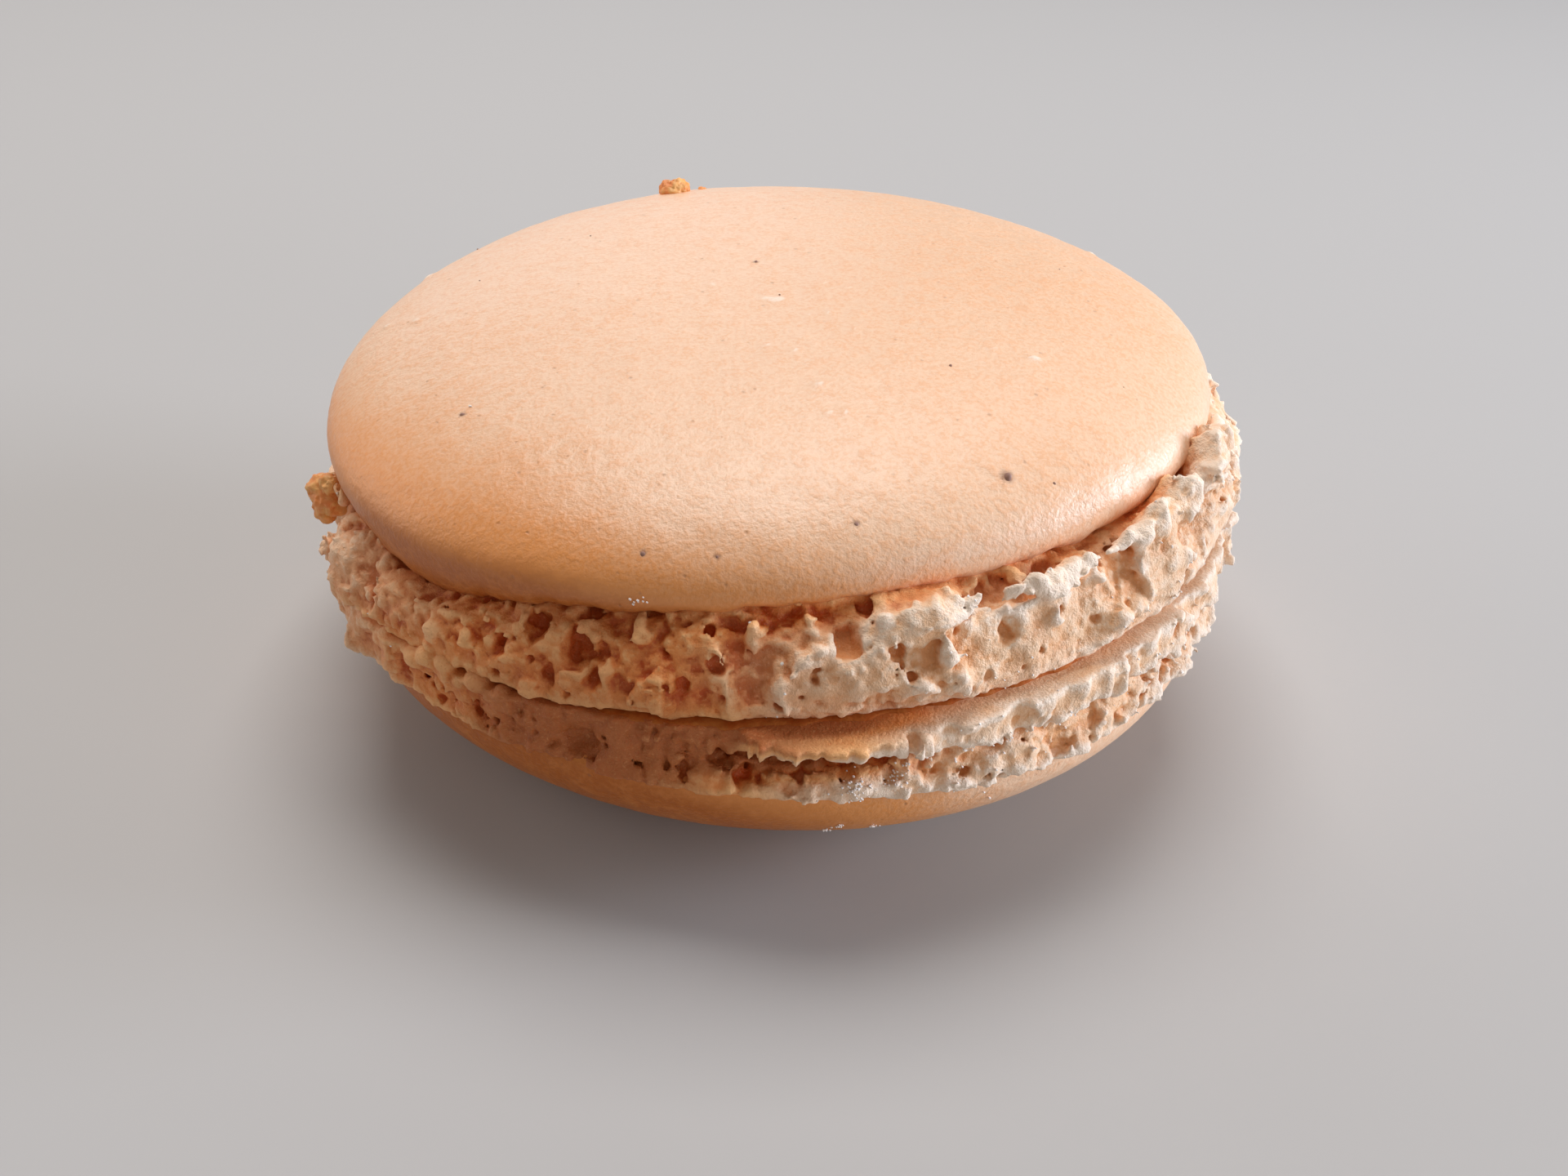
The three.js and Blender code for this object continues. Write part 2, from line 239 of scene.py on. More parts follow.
class Nodes:
    """Adds nodes to one shader or geometry tree."""

    def __init__(self, tree, material=None):
        self.tree = tree
        self.material = material

    @staticmethod
    def socket(sockets, key):
        if isinstance(key, int):
            return sockets[key]
        for socket in sockets:
            if key in (socket.identifier, socket.name) and socket.enabled:
                return socket
        raise KeyError(f"no socket named {key}")

    def add(self, kind, inputs=None, output=0, **settings):
        """A node by its type, with its settings first and then its sockets' values or wires."""
        node = self.tree.nodes.new(kind)
        for name, value in settings.items():
            setattr(node, name, value)
        for key, value in (inputs or {}).items():
            socket = self.socket(node.inputs, key)
            if isinstance(value, Wire):
                self.tree.links.new(value.socket, socket)
            else:
                socket.default_value = value
        return Wire(self, self.socket(node.outputs, output)) if node.outputs else node

    def math(self, operation, *values):
        return self.add("ShaderNodeMath", dict(enumerate(values)), operation=operation)

    def vector(self, operation, *values, **named):
        output = "Value" if operation == "DISTANCE" else 0
        return self.add("ShaderNodeVectorMath", {**dict(enumerate(values)), **named}, output, operation=operation)

    def joined(self, x, y, z):
        return self.add("ShaderNodeCombineXYZ", {0: x, 1: y, 2: z})

    def split(self, vector):
        node = self.add("ShaderNodeSeparateXYZ", {0: vector}).socket.node
        return [Wire(self, socket) for socket in node.outputs]

    def noise(self, vector, scale, detail=2.0, roughness=0.5):
        return self.add("ShaderNodeTexNoise", {"Vector": vector, "Scale": scale, "Detail": detail,
                                               "Roughness": roughness})

    def ramp(self, value, low, high, floor=0.0, ceiling=1.0):
        """Value taken smoothly from low..high to floor..ceiling."""
        return self.add("ShaderNodeMapRange", {"Value": value, "From Min": low, "From Max": high,
                                               "To Min": floor, "To Max": ceiling},
                        interpolation_type="SMOOTHSTEP")

    def mixed(self, factor, first, second):
        """From the first colour to the second, each a wire or a picker's shade."""
        first, second = (c if isinstance(c, Wire) else with_alpha(c) for c in (first, second))
        return self.add("ShaderNodeMix", {"Factor_Float": factor, "A_Color": first, "B_Color": second},
                        "Result_Color", data_type="RGBA")

    def place(self):
        return self.add("ShaderNodeTexCoord", output="Object")

    def carried(self, name):
        """A value that a piece's own points carry, read by its material."""
        return self.add("ShaderNodeAttribute", output="Fac", attribute_name=name)

    def bump(self, height, strength, distance):
        return self.add("ShaderNodeBump", {"Strength": strength, "Distance": distance, "Height": height}, "Normal")

    def read(self, name):
        """A value that a mesh's points carry, read in a geometry tree."""
        return self.add("GeometryNodeInputNamedAttribute", {"Name": name}, "Attribute", data_type="FLOAT")

    def stored(self, geometry, name, value):
        return self.add("GeometryNodeStoreNamedAttribute", {"Geometry": geometry, "Name": name, "Value": value},
                        data_type="FLOAT", domain="POINT")

    def random(self, seed, least, most):
        """A number between two, or three numbers where they are given in threes."""
        kind = "FLOAT_VECTOR" if isinstance(most, tuple) else "FLOAT"
        inputs = {"Min": least, "Max": most, "Seed": seed}
        return self.add("FunctionNodeRandomValue", inputs, "Value", data_type=kind)

    def pushed(self, geometry, amount):
        """Each point of a mesh moved along its normal."""
        along = self.vector("SCALE", self.add("GeometryNodeInputNormal"), Scale=amount)
        return self.add("GeometryNodeSetPosition", {"Geometry": geometry, "Offset": along})

    def set_out(self, bit, points, width, seed, least, most):
        """The bit on every point, turned and shaped at random and as wide as the point says."""
        return self.add("GeometryNodeInstanceOnPoints", {
            "Points": points, "Instance": bit, "Rotation": self.random(seed, (0, 0, 0), (TURN, TURN, TURN)),
            "Scale": self.vector("SCALE", self.random(seed, least, most), Scale=width)})

    def waves(self, angle, terms):
        return sum(((angle - math.radians(crest)) * float(order)).math("COSINE") * (size * MM)
                   for order, size, crest in terms)

    def swells(self, angle, terms):
        total = 0.0
        for middle, spread, size in terms:
            apart = (angle - math.radians(middle)).math("WRAP", math.pi, -math.pi) / math.radians(spread)
            total = (-(apart * apart)).math("EXPONENT") * (size * MM) + total
        return total


def linear(colour):
    """Scene colour from the shades that a colour picker shows."""
    return tuple(c / 12.92 if c <= 0.04045 else ((c + 0.055) / 1.055) ** 2.4 for c in colour[:3])


def with_alpha(colour):
    return (*linear(colour), 1.0)


# ---------------------------------------------------------------- settings

def colour_setting(name, description, shade):
    return FloatVectorProperty(name=name, description=description, subtype="COLOR_GAMMA", size=3,
                               min=0, max=1, default=shade)


def length_setting(name, description, size):
    return FloatProperty(name=name, description=description, subtype="DISTANCE", unit="LENGTH",
                         precision=5, default=size * MM)


class MacaroonSizes(bpy.types.PropertyGroup):
    """Sizes that change how the macaroon is baked"""
    bubble: length_setting("Bubble", "Usual radius of the torn bubbles in the feet", 0.62)
    undulation: length_setting("Undulation", "Height of the crusts' broad, shallow waves", 0.11)
    pimple: length_setting("Pimple", "Height of the crusts' fine lumps", 0.035)
    sugar: length_setting("Sugar", "Usual width of a sugar grain", 0.22)
    seed: IntProperty(name="Seed", description="Chooses the bubbles and crumbs", default=7, min=0)


class MacaroonColours(bpy.types.PropertyGroup):
    """Colours of the baked, torn and spread surfaces"""
    crust: colour_setting("Crust", "Pale apricot top of the crusts", (0.94, 0.77, 0.63))
    # The baked and toasted colours are real browning at the rims and also painted shade: on the front-left, under
    # the cap's rim, and towards the bottom crust's underside.
    baked: colour_setting("Baked rim", "Browner rim of the crusts", (0.91, 0.60, 0.34))
    toasted_and_shaded: colour_setting("Toasted edge", "Brownest edge of the crusts", (0.71, 0.39, 0.15))
    # The hollow colours are darker as painted shade in the hollows, and the moist colours also carry painted shade
    # on the front-left.
    dry_ridge: colour_setting("Dry ridges", "Walls between the bubbles, on the dry side", (0.97, 0.88, 0.79))
    dry_crumb: colour_setting("Dry crumb", "Torn crumb on the dry side", (0.95, 0.78, 0.62))
    dry_hollow: colour_setting("Dry hollows", "Inside of the bubbles on the dry side", (0.89, 0.63, 0.41))
    moist_ridge: colour_setting("Moist ridges", "Walls between the bubbles, on the moist side", (0.96, 0.72, 0.48))
    moist_crumb: colour_setting("Moist crumb", "Torn crumb on the moist side", (0.92, 0.57, 0.30))
    moist_hollow: colour_setting("Moist hollows", "Inside of the bubbles on the moist side", (0.76, 0.31, 0.07))
    # Browned crumb is mostly painted shade: on the ledge's face, in the cave under it and on the front-left.
    browned: colour_setting("Browned crumb", "Crumb that has baked brownest", (0.72, 0.41, 0.21))
    filling: colour_setting("Filling", "Ginger filling", (0.68, 0.34, 0.12))
    pore: colour_setting("Pores", "Fine pores in the crusts", (0.62, 0.44, 0.34))
    spice: colour_setting("Spice", "Dark specks of spice", (0.55, 0.39, 0.32))
    golden: colour_setting("Golden crumb", "Paler grains of the loose crumbs", (0.93, 0.70, 0.42))
    sugar: colour_setting("Sugar", "Sugar grains", (0.97, 0.95, 0.93))


# ---------------------------------------------------------------- materials

def new_material(name):
    material = bpy.data.materials.new(name)
    material.use_nodes = True
    material.node_tree.nodes.clear()
    return Nodes(material.node_tree, material)


def finish_material(nodes, colour, roughness, shine=0.5, normal=None):
    inputs = {"Base Color": colour, "Roughness": roughness, "Specular IOR Level": shine}
    if normal:
        inputs["Normal"] = normal
    nodes.add("ShaderNodeOutputMaterial", {"Surface": nodes.add("ShaderNodeBsdfPrincipled", inputs)})
    return nodes.material


DUSTY = (1.0, 0.9, 0.8)            # paler dust on the fresh crust
BLISTER_HIGHLIGHT = (1.0, 0.94, 0.88)   # painted highlight on the blisters


def crust_material(colours, name, baking=0.0, leaning=0.55, rimward=1.0, leans=(0.008, 0.025),
                   shine=0.46, stains=()):
    """Satin baked meringue: pale and finely grained, browner where it rolls under and on the front-left side,
    partly real browning and partly painted shade; a rimward below 0 makes it darker towards the underside as
    painted shade.
    """
    nodes = new_material(name)
    place = nodes.place()
    broad = nodes.noise(place, 130.0, 3.0)
    mottle = nodes.noise(place, 1500.0, 4.0, 0.6)
    grain = nodes.noise(place, 5200.0, 3.0, 0.6)
    x, y, _ = nodes.split(place)
    # Rises towards the front-left side, which is browner partly from baking and partly as painted shade.
    lean = nodes.ramp(x * -0.6 - y * 0.85, *leans)
    # Browner towards the rim and under it, partly real browning and partly painted shade; a rimward below 0
    # darkens it away from the rim, towards the underside, as painted shade.
    baked = nodes.carried("rim") * (lean * 0.9 + 0.35) * rimward + lean * leaning
    baked = baked + (broad - 0.5) * 0.5 + (mottle - 0.5) * 0.35 + baking
    colour = nodes.mixed(nodes.ramp(baked, 0.3, 1.15), colours.crust, colours.baked)
    colour = nodes.mixed(nodes.ramp(baked, 1.25, 1.8), colour, colours.toasted_and_shaded)
    colour = nodes.mixed(nodes.ramp(mottle + (broad - 0.5) * 0.6, 0.42, 0.72) * 0.2, colour, colours.baked)
    colour = nodes.mixed(nodes.ramp(grain + mottle * 0.5, 0.68, 0.9) * 0.2, colour, colours.baked)
    fresh = nodes.ramp(baked, 1.5, 0.9)
    colour = nodes.mixed(nodes.ramp(grain - mottle * 0.3, 0.42, 0.27) * fresh * 0.12, colour, DUSTY)
    # A pale painted highlight on each blister.
    colour = nodes.mixed(nodes.ramp(nodes.carried("blister"), 0.25, 0.8) * 0.55, colour, BLISTER_HIGHLIGHT)
    pores = nodes.add("ShaderNodeTexVoronoi", {"Vector": place, "Scale": 1400.0})
    pore = nodes.ramp(pores, 0.0, 0.2, 1.0, 0.0) * nodes.ramp(mottle, 0.5, 0.62)
    colour = nodes.mixed(pore * 0.4, colour, colours.pore)
    for *middle, width in stains:
        ragged = nodes.vector("ADD", place, nodes.vector("SCALE", (1.0, 1.0, 1.0), Scale=(grain - 0.5) * width))
        away = nodes.vector("DISTANCE", ragged, middle)
        colour = nodes.mixed(nodes.ramp(away, width * 0.3, width * 1.1, 0.6, 0.0), colour, colours.spice)
    bump = nodes.bump(grain * 0.5 + mottle * 0.8 - pore * 0.5, 0.5, 0.00016)
    return finish_material(nodes, colour, nodes.ramp(mottle, 0.3, 0.7, 0.33, 0.44), shine, bump)


def crumb_material(colours):
    """Torn meringue: granular crumb, paler on the ridges and warm and darker in the hollows as painted shade, with
    moist and browned colours where it is browned or in painted shade.
    """
    nodes = new_material("torn_crumb")
    place = nodes.place()
    patch = nodes.noise(place, 300.0, 3.0)
    grain = nodes.noise(place, 2600.0, 4.0, 0.7)
    fine = nodes.noise(place, 7500.0, 3.0, 0.65)
    # How far down in a hollow a point lies: it darkens the colour there as painted shade, and sets the roughness.
    sunk = nodes.carried("near") * 0.8 + nodes.carried("wide") - 0.9 + (patch - 0.5) * 0.4 + (grain - 0.5) * 0.35
    toast = nodes.carried("toast")
    # Moist colours where the crumb is browned, and where painted shade falls on it.
    moist = nodes.ramp(toast + (patch - 0.5) * 0.35, 0.0, 1.0)
    ridge = nodes.mixed(moist, colours.dry_ridge, colours.moist_ridge)
    crumb = nodes.mixed(moist, colours.dry_crumb, colours.moist_crumb)
    hollow = nodes.mixed(moist, colours.dry_hollow, colours.moist_hollow)
    # Painted shade: darker from the ridges down into the hollows.
    colour = nodes.mixed(nodes.ramp(sunk, -0.32, 0.08), ridge, crumb)
    colour = nodes.mixed(nodes.ramp(sunk, 0.0, 0.36), colour, hollow)
    # Browned colour where the value is highest, mostly painted shade on the ledge's face, in the cave and on the
    # front-left.
    colour = nodes.mixed(nodes.ramp(toast + (patch - 0.5) * 0.5, 0.95, 1.9), colour, colours.browned)
    colour = nodes.mixed(nodes.ramp(fine, 0.55, 0.72) * 0.3, colour, ridge)
    colour = nodes.mixed(nodes.ramp(fine, 0.46, 0.3) * 0.3, colour, hollow)
    bump = nodes.bump(grain * 0.7 + fine * 0.4, 0.7, 0.00025)
    return finish_material(nodes, colour, nodes.ramp(sunk, -0.2, 0.3, 0.55, 0.4), 0.34, bump)


def filling_material(colours):
    """Moist brown filling, with paler grains."""
    nodes = new_material("ginger_filling")
    grain = nodes.noise(nodes.place(), 1500.0, 4.0, 0.65)
    colour = nodes.mixed(nodes.ramp(grain, 0.35, 0.7), colours.filling, (0.74, 0.44, 0.2))
    return finish_material(nodes, colour, 0.7, 0.15, nodes.bump(grain, 0.6, 0.0002))


def sugar_material(colours):
    """Sugar: clear bright faces with duller, creamier ones between them."""
    nodes = new_material("sugar")
    facet = nodes.noise(nodes.place(), 5200.0, 2.0)
    colour = nodes.mixed(nodes.ramp(facet, 0.4, 0.65) * 0.6, colours.sugar, colours.dry_ridge)
    return finish_material(nodes, colour, nodes.ramp(facet, 0.4, 0.65, 0.15, 0.35), 0.6)


# ---------------------------------------------------------------- meshes

def linked(name, data):
    """An object put in the scene."""
    piece = bpy.data.objects.new(name, data)
    bpy.context.scene.collection.objects.link(piece)
    return piece


def settle(mesh, place):
    """Moves a mesh from its shell's own mm place to where the shell lies."""
    mesh.transform(Matrix.Scale(MM, 4) @ place @ Matrix.Scale(1 / MM, 4))


def keep_result(piece, modifier):
    """Keeps what a modifier makes of a piece as its plain mesh."""
    evaluated = piece.evaluated_get(bpy.context.evaluated_depsgraph_get())
    result = bpy.data.meshes.new_from_object(evaluated)
    piece.modifiers.remove(modifier)
    piece.data = result


def new_piece(name, points, faces, material, place=None):
    """A plain mesh object from points in mm, smooth-shaded and with its material, moved to its shell's place if
    one is given.
    """
    mesh = bpy.data.meshes.new(name)
    mesh.from_pydata((np.asarray(points) * MM).tolist(), [], faces)
    if place:
        settle(mesh, place)
    mesh.validate()
    mesh.polygons.foreach_set("use_smooth", [True] * len(mesh.polygons))
    mesh.materials.append(material)
    return linked(name, mesh)


def keep_values(piece, **values):
    for name, numbers in values.items():
        layer = piece.data.attributes.new(name, "FLOAT", "POINT")
        layer.data.foreach_set("value", np.asarray(numbers, np.float32))


def declare(piece, slot, *nodes):
    """Hides the CAD nodes that a finished piece stands for, and hangs the piece under the root body. Its slot,
    what it is made of, is not used.
    """
    if nodes:
        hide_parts(*nodes)
    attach(piece, "root")


def grown(name, tree, values, base=None):
    """Runs a Geometry Nodes tree, on a base mesh if one is given, and keeps its plain mesh."""
    mesh = base.copy() if base else bpy.data.meshes.new(name)
    piece = linked(name, mesh)
    modifier = piece.modifiers.new("grow", "NODES")
    modifier.node_group = tree
    for item in tree.interface.items_tree:
        if item.item_type == "SOCKET" and item.in_out == "INPUT" and item.name in values:
            modifier[item.identifier] = values[item.name]
    keep_result(piece, modifier)
    piece.data.name = name
    return piece


# ---------------------------------------------------------------- crusts

DOME_END = 0.86      # shares of the way from the pole to the closed underside
SKIRT_END = 0.975


SOCKETS = {float: "Float", int: "Int", bool: "Bool"}     # kinds of tree input, by the kind of their default


def open_tree(name, inputs):
    """Starts a geometry tree. An input is given by its default, or by its kind where it has none."""
    tree = bpy.data.node_groups.new(name, "GeometryNodeTree")
    for label, default in inputs.items():
        kind = SOCKETS.get(type(default), default)
        socket = tree.interface.new_socket(label, in_out="INPUT", socket_type=f"NodeSocket{kind}")
        if kind != default:
            socket.default_value = default
    tree.interface.new_socket("Geometry", in_out="OUTPUT", socket_type="NodeSocketGeometry")
    nodes = Nodes(tree)
    given = tree.nodes.new("NodeGroupInput")
    return nodes, {s.name: Wire(nodes, s) for s in given.outputs if s.name}


def close_tree(nodes, given, geometry):
    """Ends a tree with real meshes in place of instances, and with their material."""
    real = nodes.add("GeometryNodeRealizeInstances", {"Geometry": geometry})
    done = nodes.add("GeometryNodeSetMaterial", {"Geometry": real, "Material": given["Material"]})
    nodes.tree.links.new(done.socket, nodes.tree.nodes.new("NodeGroupOutput").inputs[0])
    return nodes.tree


def crust_tree(name, outline, level_waves, skirt_swells, blisters):
    """A domed crust worked out from a square grid: each point's reach from the middle of
    the grid is its place along the profile, and its bearing is its place round the shell."""
    nodes, given = open_tree(name, {
        "Radius": 0.02, "Level": 0.005, "Dome Height": 0.005, "Dome Power": 2.5, "Rest Radius": 0.0,
        "Rest Share": 0.0, "Skirt Depth": 0.002, "Skirt Tuck": 0.07, "Tuck Lift": 0.0006,
        "Undulation": 0.0001, "Pimple": 0.00003, "Edge Wobble": 0.0001, "Points Across": 300,
        "Upside Down": False, "Material": "Material",
    })
    across = given["Points Across"]
    grid = nodes.add("GeometryNodeMeshGrid",
                     {"Size X": 2.0, "Size Y": 2.0, "Vertices X": across, "Vertices Y": across})
    east, north, _ = nodes.split(nodes.add("GeometryNodeInputPosition"))
    reach = east.math("ABSOLUTE").math("MAXIMUM", north.math("ABSOLUTE"))
    angle = north.math("ARCTAN2", east)
    cosine, sine = angle.math("COSINE"), angle.math("SINE")

    rest_share = given["Rest Share"]
    along = ((reach - rest_share) / (DOME_END - rest_share)).clamped()
    share = (along * (math.pi / 2)).math("SINE")
    swell = nodes.waves(angle, outline)
    radius = given["Rest Radius"] * (reach / rest_share).math("MINIMUM", 1.0)
    radius = radius + (given["Radius"] - given["Rest Radius"]) * share + share * share * share * swell
    rise = (1.0 - share ** given["Dome Power"]).math("MAXIMUM", 0.0).math("SQRT")
    rim_swell = nodes.waves(angle, level_waves)
    height = given["Level"] + rim_swell + (given["Dome Height"] - rim_swell) * rise

    roll = ((reach - DOME_END) / (SKIRT_END - DOME_END)).clamped() * (math.pi / 2)
    ring = nodes.joined(cosine * 9.0, sine * 9.0, 0.0)
    wobble = (nodes.noise(ring, 1.6, 2.0) - 0.5) * given["Edge Wobble"] * 4.0
    skirt = given["Skirt Depth"] + nodes.swells(angle, skirt_swells) + wobble
    under = ((reach - SKIRT_END) / (1 - SKIRT_END)).clamped()
    radius = radius * (1.0 - given["Skirt Tuck"] * (1.0 - roll.math("COSINE"))) * (1.0 - under)
    height = height - skirt * roll.math("SINE") + given["Tuck Lift"] * (under * 4.0).math("MINIMUM", 1.0)
    marked = nodes.stored(grid, "rim", along ** 3.0 + roll * (1 / math.pi))
    spot = nodes.joined(radius * cosine, radius * sine, height)
    shaped = nodes.add("GeometryNodeSetPosition", {"Geometry": marked, "Position": spot})
    closed = nodes.add("GeometryNodeMergeByDistance", {"Geometry": shaped, "Distance": 1e-7})

    here = nodes.add("GeometryNodeInputPosition")
    x, y, _ = nodes.split(here)
    relief = (nodes.noise(here, 120.0, 2.0) - 0.5) * given["Undulation"] * 2.0
    relief = relief + (nodes.noise(here, 620.0, 2.0, 0.6) - 0.5) * given["Pimple"] * 2.0
    blistered = 0.0
    for spot_x, spot_y, spread, lift in blisters:
        off_x, off_y = x - spot_x * MM, y - spot_y * MM
        away = (off_x * off_x + off_y * off_y) / (spread * MM) ** 2
        raised = (-away).math("EXPONENT")
        relief = relief + raised * (lift * MM)
        blistered = raised + blistered
    # The blister share is kept for the crust's material, which paints a pale highlight on each blister.
    rough = nodes.pushed(nodes.stored(closed, "blister", blistered), relief)
    turned = nodes.add("GeometryNodeFlipFaces", {"Mesh": rough, "Selection": given["Upside Down"]})
    return close_tree(nodes, given, nodes.add("GeometryNodeSetShadeSmooth", {"Geometry": turned}))


# ---------------------------------------------------------------- torn feet

class CrumbGrid:
    """A ring of space round a shell's axis, in mm, that a foot is worked out in."""

    def __init__(self, inner, outer, low, high, step):
        middle = (inner + outer) / 2 + 1
        self.turns = int(TURN * middle / step)
        self.angle = (np.arange(self.turns) * TURN / self.turns).astype(np.float32)
        self.radius = np.arange(inner, outer, step, dtype=np.float32)
        self.height = np.arange(low, high, step, dtype=np.float32)
        self.step = step
        self.amount = None

    def mesh(self):
        return np.meshgrid(self.angle, self.radius, self.height, indexing="ij")

    def window(self, angle, radius, height, reach):
        """Grid numbers near a spot, and how far each is off it: round, out and up."""
        span = int(reach / radius / (TURN / self.turns)) + 2
        first = int(round(angle / TURN * self.turns))
        ring = np.arange(first - span, first + span + 1)
        rows = np.nonzero(np.abs(self.radius - radius) <= reach)[0]
        tiers = np.nonzero(np.abs(self.height - height) <= reach)[0]
        around = (ring * TURN / self.turns - angle) * radius
        return (np.ix_(ring % self.turns, rows, tiers), around[:, None, None],
                (self.radius[rows] - radius)[None, :, None], (self.height[tiers] - height)[None, None, :])

    def egg(self, spot, sizes, soft, lean=0.0, dig=True):
        """Digs a leaning egg out of the crumb, or adds one to it. Sizes: round, along, through."""
        angle, radius, height = spot
        numbers, around, out, up = self.window(angle, radius, height, max(sizes) + 2 * soft)
        if not (numbers[1].size and numbers[2].size):
            return
        along = up * math.cos(lean) - out * math.sin(lean)
        through = out * math.cos(lean) + up * math.sin(lean)
        away = np.sqrt((around / sizes[0]) ** 2 + (along / sizes[1]) ** 2 + (through / sizes[2]) ** 2)
        gap = (away - 1) * min(sizes)
        held = self.amount[numbers]
        self.amount[numbers] = smooth_least(held, gap, soft) if dig else smooth_most(held, -gap, soft)

    def fullness(self, reach):
        """Share of crumb in a small box round each grid place: low on ridges, high in hollows."""
        share = np.clip(0.5 + self.amount / self.step, 0, 1).astype(np.float32)
        span = max(1, int(round(reach / self.step)))
        for axis in range(3):
            total = share.copy()
            for shift in range(1, span + 1):
                total += np.roll(share, shift, axis) + np.roll(share, -shift, axis)
            share = total / (2 * span + 1)
        return share

    def skin(self):
        """Closed surface net round the crumb: points in mm from the axis, and quads."""
        amount = self.amount
        for outer in (amount[:, :1], amount[:, -1:], amount[:, :, :1], amount[:, :, -1:]):
            np.minimum(outer, -self.step, out=outer)
        inside = amount > 0
        turns, rings, tiers = amount.shape
        steps = list(itertools.product((0, 1), repeat=3))

        def corner(field, i, j, k):
            return np.roll(field, -i, 0)[:, j:rings - 1 + j, k:tiers - 1 + k]

        filled = sum(corner(inside, *s).astype(np.int8) for s in steps)
        cells = np.argwhere((filled > 0) & (filled < 8))
        number = np.full(filled.shape, -1)
        number[tuple(cells.T)] = np.arange(len(cells))
        values = {s: amount[(cells[:, 0] + s[0]) % turns, cells[:, 1] + s[1], cells[:, 2] + s[2]]
                  for s in steps}
        total = np.zeros((len(cells), 3))
        hits = np.zeros(len(cells))
        for start in steps:
            for axis in range(3):
                if start[axis]:
                    continue
                end = tuple(1 if i == axis else s for i, s in enumerate(start))
                a, b = values[start], values[end]
                cut = (a > 0) != (b > 0)
                share = np.where(cut, a / np.where(cut, a - b, 1), 0)
                for i in range(3):
                    total[:, i] += cut * (start[i] + (share if i == axis else 0))
                hits += cut
        place = cells + total / hits[:, None]
        angle = place[:, 0] * TURN / turns
        radius = self.radius[0] + place[:, 1] * self.step
        height = self.height[0] + place[:, 2] * self.step

        quads = []
        for axis in range(3):
            ahead = np.roll(inside, -1, 0) if axis == 0 else np.zeros_like(inside)
            if axis == 1:
                ahead[:, :-1] = inside[:, 1:]
            if axis == 2:
                ahead[:, :, :-1] = inside[:, :, 1:]
            others = [i for i in range(3) if i != axis]
            for leaving in (True, False):
                spots = np.argwhere((inside & ~ahead) if leaving else (~inside & ahead))
                ring = []
                for back in ((1, 1), (0, 1), (0, 0), (1, 0)):
                    cell = spots.copy()
                    cell[:, others[0]] -= back[0]
                    cell[:, others[1]] -= back[1]
                    ring.append(number[cell[:, 0] % turns, cell[:, 1], cell[:, 2]])
                quad = np.stack(ring, 1)
                turned = leaving == (axis != 1)
                quads.append(quad[:, ::-1] if turned else quad)
        return cells, angle, radius, height, np.concatenate(quads)


def largest_part(count, quads):
    """Marks the points of the largest joined piece, and renumbers its quads."""
    label = np.arange(count)
    while True:
        least = label[quads].min(1)
        new = label.copy()
        for i in range(4):
            np.minimum.at(new, quads[:, i], least)
        new = new[new]
        if np.array_equal(new, label):
            break
        label = new
    names, sizes = np.unique(label, return_counts=True)
    kept = label == names[sizes.argmax()]
    fresh = np.cumsum(kept) - 1
    return kept, fresh[quads[kept[quads[:, 0]]]]


def scattered(dice, across, up, spacing):
    """Jittered spots over a band that is across mm long and up mm high: turn, and share of its height."""
    columns = int(across / spacing)
    rows = max(1, round(up / spacing))
    for row in range(rows):
        for column in range(columns):
            turn = (column + 0.5 * (row % 2) + dice.uniform(-0.48, 0.48)) / columns
            yield turn * TURN, (row + 0.5 + dice.uniform(-0.48, 0.48)) / rows


def ridged(grain, x, y, z, size):
    """Sharp-edged noise about 0: high along thin winding lines, low in round basins."""
    return 0.42 - 1.5 * np.abs(grain.at(x, y, z, size))


def foot_start(angle):
    return cap_radius(angle) - FOOT_TUCK


def foot_width(angle):
    return FOOT_RADIUS + waves(angle, FOOT_WAVES) - foot_start(angle)


def foot_top(angle):
    return CAP_LEVEL - skirt_depth(angle) + 0.15


def upper_body(angle, radius, height):
    """How deep a place lies inside the upper foot before it is torn, in mm."""
    width, top = foot_width(angle), foot_top(angle)
    across = np.maximum(radius - foot_start(angle), 0) / width
    up = np.maximum(height, 0) / top
    away = (across ** FOOT_POWER + up ** FOOT_POWER) ** (1 / FOOT_POWER)
    return (1 - away) * np.minimum(width, top)


GRID_STEP = 0.12      # mm between the places at which a foot is worked out
MOST_TRIANGLES = 190000     # in one foot
# Rings of space that the feet are worked out in: inner and outer reach, lowest and highest.
UPPER_SPACE = (18.5, 24.7, -0.35, 6.6)
LOWER_SPACE = (18.5, 24.4, 5.6, 12.3)
INNER_WALL = 18.9     # where the crumb ends towards the axis


def on_upper_foot(turn, swing, off):
    """A place on the untorn upper foot, swing 0 at its top and 90 degrees at its base."""
    across = math.sin(swing) ** (2 / FOOT_POWER)
    up = math.cos(swing) ** (2 / FOOT_POWER)
    radius = float(foot_start(turn)) + float(foot_width(turn)) * across + off * math.sin(swing)
    return turn, radius, float(foot_top(turn)) * up + off * math.cos(swing)


def foot_spot(degrees, level):
    """Turn and swing of a feature given by its angle and height on the upper foot."""
    turn = math.radians(degrees)
    share = min(1.0, level / float(foot_top(turn)))
    return turn, math.acos(share ** (FOOT_POWER / 2))


# Places that are lumpy rather than torn: middle and spread in degrees.
LUMPY_SIDES = [(-150, 34), (100, 30)]
# Stretches where the torn crumb climbs past the cap's edge: middle, spread, how fully.
CLIMBING = [(-27, 21, 1.0), (-71, 4, 0.75), (-57, 4, 0.6), (66, 10, 0.8), (144, 7, 0.5), (118, 6, 0.7)]
CLIMB_RIM = (21.7, 4.35, 0.8, 1.15)     # its reach, height, half width and half height
